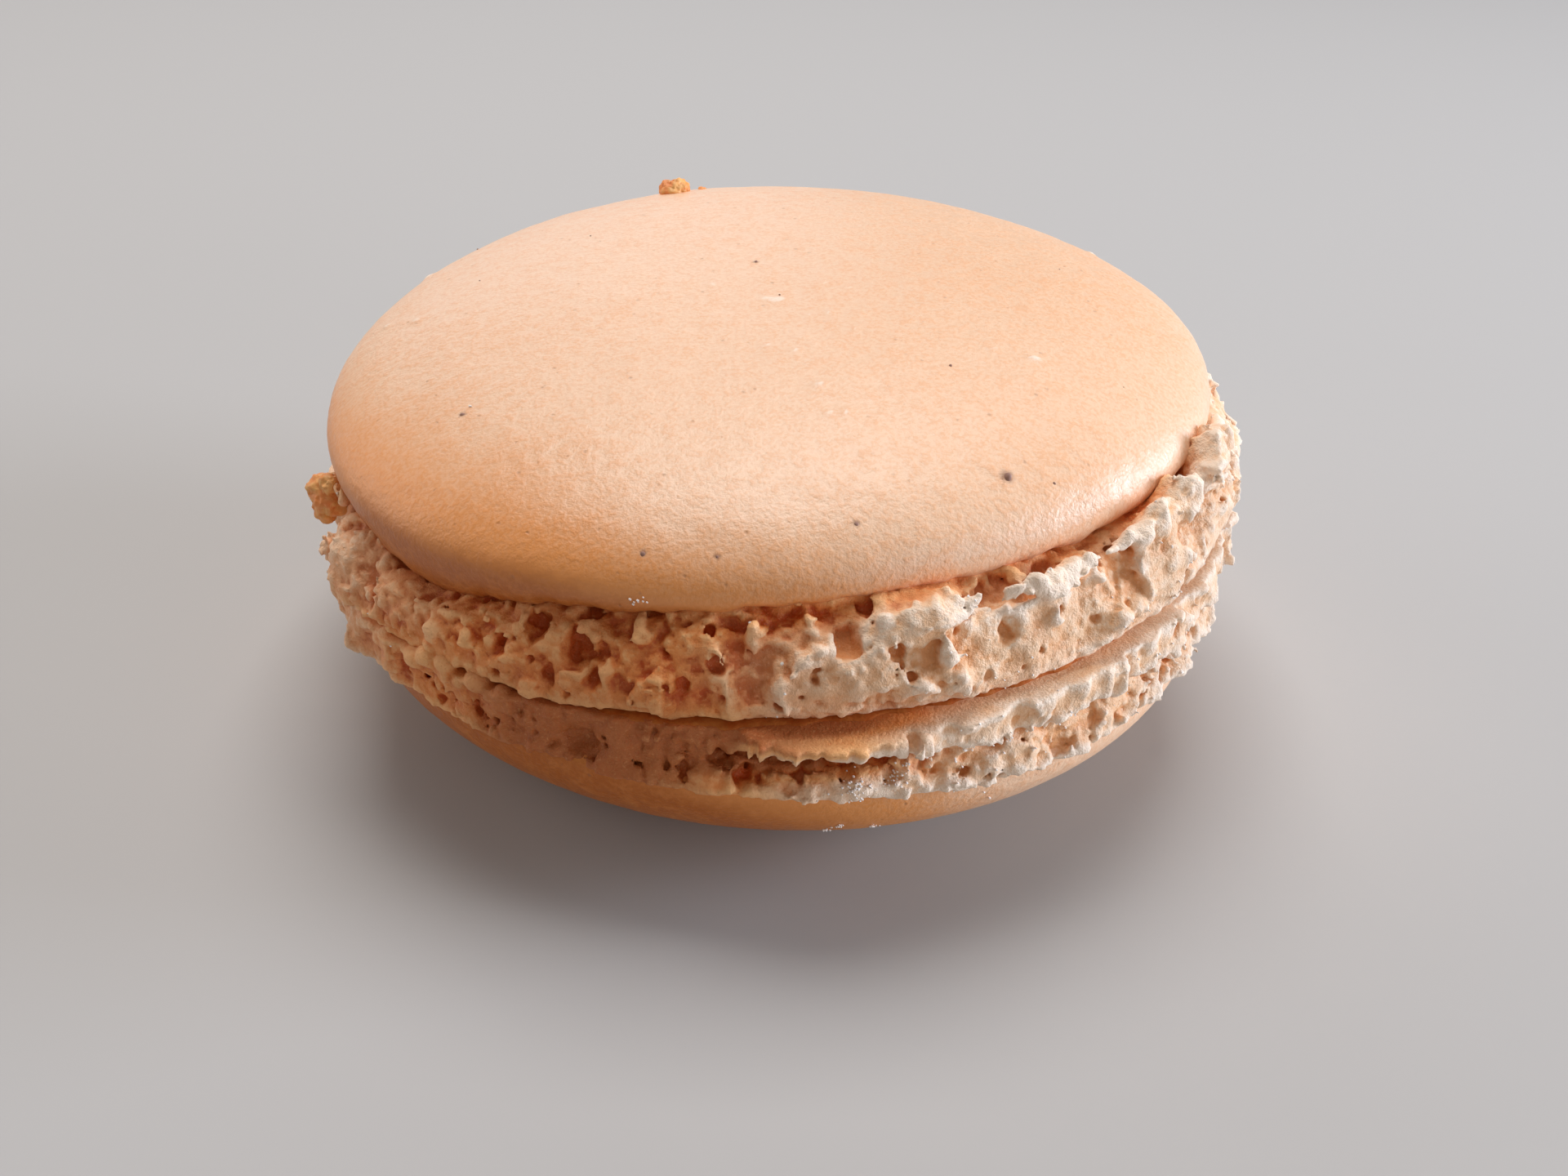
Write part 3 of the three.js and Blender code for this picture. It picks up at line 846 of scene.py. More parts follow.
# Larger features of the torn crumb: angle, height, and size of each ridge or hollow.
UPPER_RIDGES = [
    (-72, 4.4, 0.7), (-73, 3.6, 0.9), (-70.5, 2.4, 0.7), (-76, 4.5, 0.6), (-69, 1.4, 0.6),
    (-87, 4.4, 0.7), (-84, 3.8, 0.6), (-81.5, 3.0, 0.5), (-90, 3.6, 0.6), (-80, 2.0, 0.5),
    (-99.8, 0.9, 0.6), (-102.5, 3.6, 0.6), (-109, 4.0, 0.6), (-60, 3.6, 0.7), (-57, 2.6, 0.5),
    (-53, 4.3, 0.7), (-45, 4.9, 0.8), (-43, 4.0, 0.7), (-65, 4.2, 0.5), (-50, 3.2, 0.6),
]
UPPER_HOLLOWS = [
    (-80.3, 3.3, 0.75), (-84.2, 2.1, 0.32), (-86.9, 2.4, 0.3), (-75.4, 2.9, 0.42), (-65.8, 1.1, 0.3),
    (-71, 1.4, 0.26), (-80.3, 1.0, 0.24), (-83.6, 1.2, 0.22), (-97.4, 1.7, 0.5), (-94, 2.6, 0.5),
    (-106.5, 2.5, 0.7), (-105, 1.6, 0.4), (-112, 1.5, 0.4), (-49, 4.6, 0.6), (-63, 2.6, 0.6),
    (-36, 4.9, 0.6), (-55, 3.4, 0.5), (-67.5, 3.6, 0.45), (-77.6, 4.7, 0.4), (-35, 3.4, 0.5),
    (-27, 4.9, 0.5), (-20, 3.6, 0.4), (-109, 2.5, 1.0), (-114, 3.0, 0.85), (-107, 1.5, 0.6),
    (-112, 1.2, 0.5), (-104, 3.4, 0.55), (-118, 2.0, 0.6),
]


def billow(grain, x, y, z, size):
    """Rounded noise about 0: soft lumps with creases between them."""
    return 1.7 * np.abs(grain.at(x, y, z, size)) - 0.42


def climbing_crumb(angle, radius, height):
    """How deep a place lies inside the rim of crumb that has climbed past the cap's edge."""
    reach, level, half_width, half_height = CLIMB_RIM
    away = np.hypot((radius - reach) / half_width, (height - level) / half_height)
    return (1 - away) * half_width - 1.2 * (1 - np.clip(swells(angle, CLIMBING), 0, 1))


def lumpy_share(angle):
    """1 where the crumb stands in rounded knobs, 0 where it is torn into ridges."""
    return np.clip(sum(facing(angle, *side) for side in LUMPY_SIDES), 0, 1)


def torn_upper_foot(bubble, seed):
    """The upper foot: folds and knobs first, then large and small hollows, and last the fine grain."""
    grid = CrumbGrid(*UPPER_SPACE, GRID_STEP)
    angle, radius, height = grid.mesh()
    dice = np.random.default_rng(seed)
    grain = Grain(seed)
    x, y = radius * np.cos(angle), radius * np.sin(angle)
    kind = (1 - 2 * lumpy_share(grid.angle))[:, None, None]
    free = smoothstep(height, -0.1, 1.8)
    bend = grain.at(y, height, x, 1.6)
    coarse = ridged(grain, x + bend, y, height, 2.6) * 0.75 + ridged(grain, y, x + bend, height, 1.2) * 0.24
    body = upper_body(angle, radius, height) + lumps(angle, height, radius, UPPER_LUMPS) * 0.7
    body += swells(grid.angle, SLIM_SIDES)[:, None, None]
    grid.amount = smooth_most(body, climbing_crumb(angle, radius, height), 0.5)
    grid.amount += kind * coarse * (0.1 + 0.9 * free)

    for turn, level, size in UPPER_RIDGES:
        grid.egg(on_upper_foot(*foot_spot(turn, level), -0.1), (size * 0.55, size * 1.1, size * 0.8),
                 0.35, dig=False)
    for turn, share in scattered(dice, 138, 4.8, 1.25):
        swing = math.pi / 2 * (1 - share)
        size = dice.uniform(0.3, 0.65)
        sizes = [size * dice.uniform(0.8, 1.3) for _ in range(3)]
        if dice.uniform() < float(lumpy_share(turn) ** 2 + swells(turn, SLIM_SIDES)):
            grid.egg(on_upper_foot(turn, swing, -0.25 * size), sizes, 0.1, math.pi / 2 - swing, dig=False)
    for turn, share in scattered(dice, 138, 4.6, 2.15):
        swing = math.pi / 2 * (1 - share) * 0.94
        size = bubble * dice.uniform(0.4, 1.1) * (0.45 + 0.6 * share)
        sizes = [size * dice.uniform(0.75, 1.2), size * dice.uniform(0.9, 1.4), size * dice.uniform(0.8, 1.2)]
        spot = on_upper_foot(turn, swing, dice.uniform(0.0, 0.55) * size)
        if dice.uniform() > 0.7 * float(lumpy_share(turn)):
            grid.egg(spot, sizes, 0.07, math.pi / 2 - swing)
    for turn, level, size in UPPER_HOLLOWS:
        grid.egg(on_upper_foot(*foot_spot(turn, level), 0.2), (size * 0.85, size * 1.05, size * 1.3), 0.06)
    for turn, share in scattered(dice, 140, 4.6, 1.35):
        swing = math.pi / 2 * (1 - share)
        size = dice.uniform(0.1, 0.24)
        if dice.uniform() > 0.8 * float(lumpy_share(turn)):
            grid.egg(on_upper_foot(turn, swing, 0.0), (size, size, size * 2.0), 0.06)
    core = np.minimum(20.3 + 0.9 * grain.at(x, y, height, 0.9) - radius, foot_top(angle) + 0.2 - height)
    grid.amount = smooth_most(grid.amount, core, 0.15)
    grid.amount += billow(grain, height, x, y, 0.85) * 0.13 * (0.3 + 0.7 * free)
    grid.amount += billow(grain, y, height, x, 0.42) * (0.14 - 0.04 * kind) + grain.at(y, x, height, 0.25) * 0.08
    flush = flush_share(grid.angle)[:, None, None]
    grid.amount = smooth_least(grid.amount, height + 0.25 * flush * grain.at(x, y, 0 * x, 1.1), 1.1 - 0.5 * flush)
    grid.amount = np.minimum(np.minimum(grid.amount, height + 0.15 * flush), radius - INNER_WALL)
    return grid


# Browned, moist sides of the crumb, the front-left one (-110) partly painted shade: middle and spread in degrees,
# and how far.
MOIST_AND_SHADED_SIDES = [(-110, 20, 1.2), (-150, 30, 0.25), (170, 50, 0.4), (90, 40, 0.35)]


def upper_toast_and_shade(angle, radius, height):
    """How far the crumb is browned or darkened, from 0 to 1: browner on some sides and partly as painted shade on
    the front-left, and darker as painted shade at its inner top under the cap's edge and at its base.
    """
    # Painted shade at the inner top, where the cap's edge overhangs the crumb.
    inner = smoothstep(height, 2.6, 4.4) * smoothstep(-radius, -22.0, -20.6)
    # Painted shade at the base, where the foot meets the lower shell.
    under = 1 - smoothstep(height, 0.1, 1.8)
    return np.clip(0.05 + swells(angle, MOIST_AND_SHADED_SIDES) + 0.8 * inner + 0.3 * under, 0, 1.3)


def lower_toast_and_shade(angle, radius, height):
    """How far the lower crumb is browned or darkened: browner on some sides and partly as painted shade on the
    front-left; painted shade on the ledge's face under the upper foot, on the front-left below the ledge, and in
    the cave under it.
    """
    level = lower_face(angle, radius)
    # Painted shade on the ledge's face, under the overhang of the upper foot.
    front = facing(angle, -93, 17) * smoothstep(height, level - 0.35, level - 0.05)
    # Painted shade in the cave under the ledge.
    cave = facing(angle, -86, 12) * smoothstep(height, 7.6, 8.3) * smoothstep(-radius, -21.4, -20.7)
    # The term about -114 degrees is painted shade on the front-left of the lower foot.
    return np.clip(swells(angle, MOIST_AND_SHADED_SIDES) + front + 0.65 * facing(angle, -114, 25) + 1.4 * cave, 0, 2)


def waist(angle):
    return WAIST_RADIUS + swells(angle, WAIST_SWELLS)


def crust_reach(rise):
    """Radius of the lower crust at a share of the way up to its rim."""
    share = (1 - (1 - np.clip(rise, 0, 1)) ** 2) ** (1 / CRUST_POWER)
    return REST_RADIUS + (CRUST_RADIUS - REST_RADIUS) * share


def flush_share(angle):
    """1 where the lower shell comes up flush with the upper one, 0 where it has a ledge."""
    middle, reach, fade = FLUSH_SIDE
    return 1 - smoothstep(np.abs(degrees_apart(angle, middle)), reach - fade, reach + fade)


def upper_outline(angle):
    """Reach of the upper foot's base, from the lower shell's axis."""
    shift_x, shift_y = UPPER_AXIS[0] - LOWER_AXIS[0], UPPER_AXIS[1] - LOWER_AXIS[1]
    reach = FOOT_RADIUS + waves(angle, FOOT_WAVES) + swells(angle, SLIM_SIDES)
    return reach + shift_x * np.cos(angle) + shift_y * np.sin(angle)


def upper_face(angle, radius):
    """Height of the upper shell's flat face, at a place given from the lower shell's axis."""
    x = radius * np.cos(angle) + LOWER_AXIS[0]
    y = radius * np.sin(angle) + LOWER_AXIS[1]
    return face_level(x, y, UPPER_AXIS, UPPER_BASE_LEVEL, UPPER_TILT)


def lower_wall(ring, height, top):
    """Reach of the lower crumb's side: a shelf over the crust's rim, flush with the upper foot on one side."""
    rim = rim_level(ring)
    reach, above, half_height = SHELF
    shelf = np.exp(-((height - rim - above) / half_height) ** 2)
    wall = waist(ring) + (reach - waist(ring)) * shelf
    rise = np.clip((height - rim) / (top - rim), 0, 1)
    return wall + (upper_outline(ring) + 0.1 - wall) * flush_share(ring) * rise ** 1.5


NOTCH = (-112, 21.6, 8.65, 0.7, 0.4, 1.3)     # at the ledge's end: angle, reach, height, sizes
# Hollows under the ledge: angle, height, size.
LOWER_HOLLOWS = [
    (-96, 8.7, 0.6), (-92.5, 8.9, 0.85), (-89, 8.9, 0.95), (-85.5, 8.85, 1.0), (-82, 8.8, 1.0),
    (-78.5, 8.8, 0.95), (-75.5, 8.9, 0.7), (-93, 8.0, 0.45), (-64, 8.6, 0.5), (-52, 8.8, 0.45), (-44, 8.6, 0.4),
    (-36, 8.7, 0.4),
]


def torn_lower_foot(bubble, seed):
    """The lower foot: a torn wall with hollows, the ledge laid on it, and last the fine grain."""
    grid = CrumbGrid(*LOWER_SPACE, GRID_STEP)
    angle, radius, height = grid.mesh()
    dice = np.random.default_rng(seed + 1)
    grain = Grain(seed + 1)
    x, y = radius * np.cos(angle), radius * np.sin(angle)
    ring = grid.angle[:, None, None]
    flush = flush_share(ring)
    face = lower_face(angle, radius)
    apart = facing(ring, *OPEN_SEAM)
    nearly = 0.88 + 0.1 * grain.at(x, y, 0 * x, 1.5)
    droop = smoothstep(radius, upper_outline(ring) - 0.5, upper_outline(ring) + 0.9)
    top = face + (upper_face(angle, radius) - 0.04 - face) * np.maximum(flush, nearly * (1 - 0.75 * apart * droop))
    rim = rim_level(ring)
    coarse = billow(grain, x, y, height, 1.3) * 0.34 + ridged(grain, y, x, height, 0.8) * 0.2
    grid.amount = lower_wall(ring, height, top) - radius + coarse * (1 - 0.4 * flush)
    grid.amount += lumps(angle, height, radius, LOWER_LUMPS)

    for turn, share in scattered(dice, 134, 3.2, 1.5):
        size = bubble * dice.uniform(0.3, 0.8) * (1 - 0.5 * float(flush_share(turn)))
        low, high = float(rim_level(turn)) + 0.3, float(lower_face(turn, 21.0)) - 0.9
        spot = (turn, float(waist(turn)) + dice.uniform(0.0, 0.5) * size, low + (high - low) * share)
        sizes = (size * dice.uniform(0.8, 1.5), size * dice.uniform(0.6, 1.0), size)
        grid.egg(spot, sizes, 0.08)
    for turn, share in scattered(dice, 136, 3.4, 1.1):
        size = dice.uniform(0.08, 0.2)
        low, high = float(rim_level(turn)) + 0.1, float(lower_face(turn, 21.0)) - 0.9
        spot = (turn, float(waist(turn)) + dice.uniform(-0.1, 0.15), low + (high - low) * share)
        grid.egg(spot, (size, size, size * 1.4), 0.03)
    for degrees, level, size in LOWER_HOLLOWS:
        spot = (math.radians(degrees), float(waist(math.radians(degrees))) + 0.1, level)
        grid.egg(spot, (size * 1.3, size * 0.8, size * 2.1), 0.1)

    scallop = grain.at(x, y, 0 * x, 0.9) * 0.2 + grain.at(y, x, 0 * x, 0.4) * 0.18
    edge = LEDGE_RADIUS + swells(ring, LEDGE_SWELLS)
    lip = facing(ring, *BROKEN_LIP)
    scallop = scallop + grain.at(x, y, 0 * x, 0.24) * 0.14 * lip
    edge = edge + (upper_outline(ring) - 0.4 - edge) * flush + scallop * (1 + 0.9 * lip)
    thick = 1.15 - 0.8 * lip + grain.at(x, y, 0 * x, 0.8) * 0.2 * (1 - 0.7 * lip)
    edge = edge + grain.at(x, height, y, 0.7) * 0.28 * (1 - lip)
    ledge = smooth_least(edge - radius, height - (face - thick), 0.25 - 0.15 * lip)
    grid.amount = smooth_most(grid.amount, ledge - 2 * smoothstep(flush, 0.45, 1.0), 0.1)
    notch, reach, level, *sizes = NOTCH
    grid.egg((math.radians(notch), reach, level), sizes, 0.08)
    rough = 1 - 0.4 * smoothstep(height, face - 1.1, face - 0.8) * (1 - flush)
    grid.amount += (billow(grain, height, x, y, 0.8) * 0.2 + billow(grain, y, height, x, 0.42) * 0.15) * rough
    grid.amount += grain.at(y, x, height, 0.25) * 0.1 * rough
    grid.amount = smooth_least(grid.amount, top - height, 0.16)
    for turn, share in scattered(dice, 140, 1.0, 0.95):
        size = dice.uniform(0.3, 0.7)
        if dice.uniform() < float(flush_share(turn) * lumpy_share(turn)):
            reach = float(upper_outline(turn))
            level = float(upper_face(turn, reach)) + share - 0.6
            grid.egg((turn, reach - 0.6 * size, level), (size, size * 0.8, size), 0.12, dig=False)
    limits = np.minimum(radius - INNER_WALL, height - (rim - 0.5))
    limits = np.minimum(limits, np.where(height < rim, crust_reach(height / rim) - 0.08 - radius, 9))
    grid.amount = np.minimum(grid.amount, limits)
    return grid


def thinned(piece, most):
    """Takes a mesh down to at most so many triangles, where it is flattest first."""
    count = sum(len(face.vertices) - 2 for face in piece.data.polygons)
    if count <= most:
        return
    modifier = piece.modifiers.new("thin", "DECIMATE")
    modifier.ratio = most / count
    keep_result(piece, modifier)


def foot_piece(name, grid, toast, place, material):
    """The foot's mesh, with how sunken each point lies among its neighbours, near and wide."""
    cells, angle, radius, height, quads = grid.skin()
    kept, quads = largest_part(len(angle), quads)
    near, wide = grid.fullness(0.4), grid.fullness(1.0)
    spots = tuple(cells[kept].T)
    angle, radius, height = angle[kept], radius[kept], height[kept]
    points = np.stack([radius * np.cos(angle), radius * np.sin(angle), height], 1)
    piece = new_piece(name, points, quads.tolist(), material, place)
    keep_values(piece, near=near[spots], wide=wide[spots], toast=toast(angle, radius, height))
    thinned(piece, MOST_TRIANGLES)
    return piece


# ---------------------------------------------------------------- loose bits

# Bigger loose crumbs: x, y, z from the middle of the table, and width.
LOOSE_CRUMBS = [
    (-20.6, -6.9, 12.5, 2.3), (-20.3, -7.5, 13.3, 1.2), (-21.0, -7.2, 11.9, 1.2),
    (-6.1, 16.1, 19.7, 1.4), (-4.6, 16.9, 19.3, 0.7),
]
GRAINS_PER_AREA = 0.9e6     # strewn sugar grains on a square metre of dry ridge
# Clusters of sugar grains: x, y, z of the middle, how far they reach, how many.
SUGAR_CLUSTERS = [
    (3.1, -21.05, 5.1, 0.35, 8), (2.4, -20.8, 4.55, 0.3, 7), (4.6, -20.5, 4.75, 0.25, 6),
    (3.5, -22.0, 7.9, 0.5, 26), (2.6, -21.7, 7.3, 0.4, 8), (5.6, -21.6, 8.4, 0.6, 10), (8.0, -20.9, 8.6, 0.6, 10),
    (10.0, -19.9, 8.9, 0.6, 10), (12.2, -18.7, 8.9, 0.6, 10), (13.7, -17.5, 8.9, 0.5, 8),
    (3.6, -21.5, 7.6, 0.6, 50), (5.2, -21.2, 7.6, 0.5, 20), (10.0, -19.6, 8.2, 2.6, 24),
    (16.0, -15.0, 9.6, 2.6, 24), (9.0, -20.4, 11.6, 2.6, 18), (16.5, -14.5, 12.4, 2.6, 18),
    (-5.2, -20.9, 15.2, 0.4, 8), (-13.2, -10.4, 19.38, 0.12, 2),
]


def crumb_tree():
    """Lumpy crumbs of many widths at given points, each turned its own way."""
    nodes, given = open_tree("crumbs", {"Geometry": "Geometry", "Rough": 0.3, "Detail": 4, "Seed": 1,
                                        "Material": "Material"})
    ball = nodes.add("GeometryNodeMeshIcoSphere", {"Radius": 0.5, "Subdivisions": given["Detail"]})
    points = nodes.add("GeometryNodeMeshToPoints", {"Mesh": given["Geometry"]})
    held = nodes.set_out(ball, points, nodes.read("width"), given["Seed"], (0.8, 0.8, 0.7), (1.2, 1.1, 1.0))
    real = nodes.add("GeometryNodeRealizeInstances", {"Geometry": held})
    here = nodes.add("GeometryNodeInputPosition")
    lumpy = nodes.noise(here, 900.0, 2.0, 0.6) - 0.5 + (nodes.noise(here, 3000.0, 2.0, 0.6) - 0.5) * 0.35
    rough = nodes.pushed(real, lumpy * given["Rough"] * 0.003)
    return close_tree(nodes, given, nodes.add("GeometryNodeSetShadeSmooth", {"Geometry": rough}))


def sprinkle_tree():
    """Small bits strewn over the dry ridges of two surfaces, and set at the points of the base mesh."""
    nodes, given = open_tree("sugar_grains", {
        "Geometry": "Geometry", "Upper": "Object", "Lower": "Object", "Density": 1.0, "Least": 0.0001,
        "Most": 0.0002, "Seed": 1, "Material": "Material",
    })
    strewn = []
    for i, surface in enumerate(("Upper", "Lower")):
        shape = nodes.add("GeometryNodeObjectInfo", {"Object": given[surface]}, "Geometry")
        proud = nodes.ramp(nodes.read("near"), 0.3, 0.5, 1.0, 0.0)
        proud = proud * nodes.ramp(nodes.read("toast"), 0.1, 0.7, 1.0, 0.15)
        strewn.append(nodes.add("GeometryNodeDistributePointsOnFaces", {
            "Mesh": shape, "Density": proud * given["Density"], "Seed": given["Seed"] + float(i),
        }, "Points", distribute_method="RANDOM"))
    base = nodes.add("GeometryNodeMeshToPoints", {"Mesh": given["Geometry"]})
    together = nodes.tree.nodes.new("GeometryNodeJoinGeometry")
    for part in (*strewn, base):
        nodes.tree.links.new(part.socket, together.inputs[0])
    own = nodes.read("width")
    size = nodes.random(given["Seed"], given["Least"], given["Most"]) * own.math("LESS_THAN", 1e-6) + own
    bit = nodes.add("GeometryNodeMeshIcoSphere", {"Radius": 0.5, "Subdivisions": 1})
    points = Wire(nodes, together.outputs[0])
    held = nodes.set_out(bit, points, size, given["Seed"], (0.7, 0.7, 0.5), (1.2, 1.0, 0.9))
    return close_tree(nodes, given, held)


def point_mesh(name, spots):
    """A mesh of loose points in mm, each with its own width."""
    mesh = bpy.data.meshes.new(name)
    mesh.from_pydata([(x * MM, y * MM, z * MM) for x, y, z, width in spots], [], [])
    layer = mesh.attributes.new("width", "FLOAT", "POINT")
    layer.data.foreach_set("value", [width * MM for x, y, z, width in spots])
    return mesh


def clustered(clusters, width, seed, pieces):
    """Places and widths of the sugar grains in each cluster, each lying on the nearest piece."""
    dice = np.random.default_rng(seed)
    spots = []
    for *middle, reach, count in clusters:
        for offset in dice.normal(0, 0.5, (count, 3)):
            place = Vector(np.array(middle) + np.clip(offset, -1, 1) * reach) * MM
            size = width * dice.uniform(0.4, 0.85)
            found = [piece.closest_point_on_mesh(place)[1:3] for piece in pieces]
            spot, normal = min(found, key=lambda hit: (hit[0] - place).length)
            spots.append((*(spot / MM + normal * size * 0.3), size))
    return spots


STAINING = 0.18     # width from which a speck of spice stains the crust round it
# Specks of spice on the cap: x, y, width, from the upper shell's axis.
SPICE_SPECKS = [
    (-12.6, -11.3, 0.24), (10.2, -15.3, 0.42), (4.0, -18.5, 0.24), (-1.4, -20.0, 0.2), (-4.3, -19.8, 0.19),
    (12.2, -14.9, 0.15), (6.3, -18.5, 0.13), (-0.4, 1.5, 0.2), (14.5, 3.0, 0.1), (6.0, 9.0, 0.12),
    (-9.0, 6.5, 0.1), (-14.0, 2.0, 0.1), (0.8, -2.5, 0.1), (8.3, -8.8, 0.1), (-6.8, -14.0, 0.1),
    (16.0, -8.1, 0.1), (-3.5, 15.0, 0.12), (9.5, 16.0, 0.13), (-15.5, 9.5, 0.1), (3.0, 18.5, 0.1),
]


def on_cap(x, y, off):
    """A place in mm on the cap's skin, or off it along the shell's axis."""
    return UPPER_PLACE @ Vector((x, y, dome_height(x, y) + off))


def dome_height(x, y):
    """Height of the cap's skin over the upper shell's base."""
    angle, reach = math.atan2(y, x), math.hypot(x, y)
    share = reach / CAP_RADIUS
    for _ in range(8):
        share = min(1.0, reach / (CAP_RADIUS + share ** 2 * float(waves(angle, CAP_WAVES))))
    return CAP_LEVEL + DOME_HEIGHT * math.sqrt(1 - share ** DOME_POWER)


def crumb_ball_material(colours):
    """Loose crumbs: golden brown, with paler grains."""
    nodes = new_material("golden_crumb")
    place = nodes.place()
    grain = nodes.noise(place, 4200.0, 3.0, 0.6)
    pale = nodes.ramp(nodes.noise(place, 1100.0, 3.0, 0.6) + (grain - 0.5) * 0.5, 0.35, 0.65)
    colour = nodes.mixed(pale, colours.moist_crumb, colours.golden)
    return finish_material(nodes, colour, 0.5, normal=nodes.bump(grain, 0.7, 0.0001))


def spice_material(colours):
    """Dark, dull specks with a dusty bloom."""
    nodes = new_material("spice")
    bloom = nodes.noise(nodes.place(), 6000.0, 2.0)
    return finish_material(nodes, nodes.mixed(bloom, colours.spice, (0.62, 0.48, 0.42)), 0.6)


# ---------------------------------------------------------------- operators

class Shared:
    """Materials that more than one piece uses, made once."""
    made = {}

    @classmethod
    def material(cls, maker):
        if maker.__name__ not in cls.made:
            cls.made[maker.__name__] = maker(bpy.context.scene.macaroon_colours)
        return cls.made[maker.__name__]


def bottom_crust_material(colours):
    """The same crust, browner all over where it lay on the baking tray, and darker towards its underside and on
    the front-left as painted shade.
    """
    # Painted shade: a rimward below 0 darkens it towards the underside, and the strong side weight darkens its
    # front-left.
    return crust_material(colours, "browned_shaded_crust", 0.4, 2.5, -0.9, (0.006, 0.025), 0.16)


def top_crust_material(colours):
    """The cap's crust, with a brown stain round each of its larger specks of spice."""
    stains = [(*(on_cap(x, y, 0) * MM), width * MM) for x, y, width in SPICE_SPECKS if width > STAINING]
    return crust_material(colours, "baked_crust", stains=stains)


class MACAROON_OT_top_crust(bpy.types.Operator):
    """Bake the smooth cap of the upper shell"""
    bl_idname = "macaroon.top_crust"
    bl_label = "Top crust"

    def execute(self, context):
        sizes = context.scene.macaroon_sizes
        tree = crust_tree("top_crust", CAP_WAVES, [], SKIRT_SWELLS, BLISTERS)
        piece = grown("top_crust", tree, {
            "Radius": CAP_RADIUS * MM, "Level": CAP_LEVEL * MM, "Dome Height": DOME_HEIGHT * MM,
            "Dome Power": DOME_POWER, "Skirt Depth": SKIRT_DEPTH * MM, "Skirt Tuck": CAP_TUCK,
            "Tuck Lift": 0.8 * MM, "Undulation": sizes.undulation, "Pimple": sizes.pimple,
            "Edge Wobble": 0.26 * MM, "Material": Shared.material(top_crust_material),
        })
        settle(piece.data, UPPER_PLACE)
        declare(piece, "baked_meringue", "shell_top")
        return {"FINISHED"}


class MACAROON_OT_bottom_crust(bpy.types.Operator):
    """Bake the smooth underside of the lower shell"""
    bl_idname = "macaroon.bottom_crust"
    bl_label = "Bottom crust"

    def execute(self, context):
        sizes = context.scene.macaroon_sizes
        tree = crust_tree("bottom_crust", [], CRUST_WAVES, [], [])
        piece = grown("bottom_crust", tree, {
            "Radius": CRUST_RADIUS * MM, "Level": CRUST_LEVEL * MM, "Dome Height": -CRUST_LEVEL * MM,
            "Dome Power": CRUST_POWER, "Rest Radius": REST_RADIUS * MM, "Rest Share": 0.2,
            "Skirt Depth": -0.35 * MM, "Skirt Tuck": 0.03, "Tuck Lift": -0.6 * MM,
            "Undulation": sizes.undulation * 0.4, "Pimple": sizes.pimple, "Edge Wobble": 0.05 * MM,
            "Upside Down": True, "Material": Shared.material(bottom_crust_material),
        })
        settle(piece.data, LOWER_PLACE)
        for point in piece.data.vertices:
            point.co.z = max(point.co.z, 0.0)
        declare(piece, "baked_meringue", "shell_bottom")
        return {"FINISHED"}


class MACAROON_OT_top_foot(bpy.types.Operator):
    """Tear the bubbly foot of the upper shell"""
    bl_idname = "macaroon.top_foot"
    bl_label = "Top foot"

    def execute(self, context):
        sizes = context.scene.macaroon_sizes
        grid = torn_upper_foot(sizes.bubble / MM, sizes.seed)
        piece = foot_piece("top_foot", grid, upper_toast_and_shade, UPPER_PLACE, Shared.material(crumb_material))
        declare(piece, "baked_meringue", "shell_top")
        return {"FINISHED"}


class MACAROON_OT_bottom_foot(bpy.types.Operator):
    """Tear the foot and the thin ledge of the lower shell"""
    bl_idname = "macaroon.bottom_foot"
    bl_label = "Bottom foot"

    def execute(self, context):
        sizes = context.scene.macaroon_sizes
        grid = torn_lower_foot(sizes.bubble / MM, sizes.seed)
        piece = foot_piece("bottom_foot", grid, lower_toast_and_shade, LOWER_PLACE, Shared.material(crumb_material))
        declare(piece, "baked_meringue", "shell_bottom")
        return {"FINISHED"}


class MACAROON_OT_filling(bpy.types.Operator):
    """Spread the ginger filling between the shells"""
    bl_idname = "macaroon.filling"
    bl_label = "Filling"

    def execute(self, context):
        grain = Grain(FILLING_SEED)
        columns, rows = FILLING_POINTS
        angle = np.arange(columns) * TURN / columns
        base = FILLING_RADIUS + waves(angle, FILLING_WAVES)
        points = [(0, 0, float(face_level(0, 0, UPPER_AXIS, UPPER_BASE_LEVEL, UPPER_TILT)))]
        for row in range(rows):
            share = row / (rows - 1)
            bulge = math.sin(math.pi * share) * FILLING_BULGE
            radius = base + bulge
            x, y = radius * np.cos(angle), radius * np.sin(angle)
            top = face_level(x, y, UPPER_AXIS, UPPER_BASE_LEVEL, UPPER_TILT)
            low = face_level(x, y, LOWER_AXIS, LEDGE_LEVEL, LOWER_FACE_TILT)
            z = top + (low - top) * share
            radius = radius + grain.at(x, y, z, 0.8) * 0.16 + grain.at(y, x, z, 0.35) * 0.08
            points += list(zip(radius * np.cos(angle), radius * np.sin(angle), z))
        points.append((0, 0, float(face_level(0, 0, LOWER_AXIS, LEDGE_LEVEL, LOWER_FACE_TILT))))
        faces = [(0, 1 + i, 1 + (i + 1) % columns) for i in range(columns)]
        for row in range(rows - 1):
            first = 1 + row * columns
            for i in range(columns):
                j = (i + 1) % columns
                faces.append((first + i, first + columns + i, first + columns + j, first + j))
        last, first = len(points) - 1, 1 + (rows - 1) * columns
        faces += [(last, first + (i + 1) % columns, first + i) for i in range(columns)]
        piece = new_piece("filling_layer", points, faces, Shared.material(filling_material))
        declare(piece, "ginger_filling", "filling")
        return {"FINISHED"}


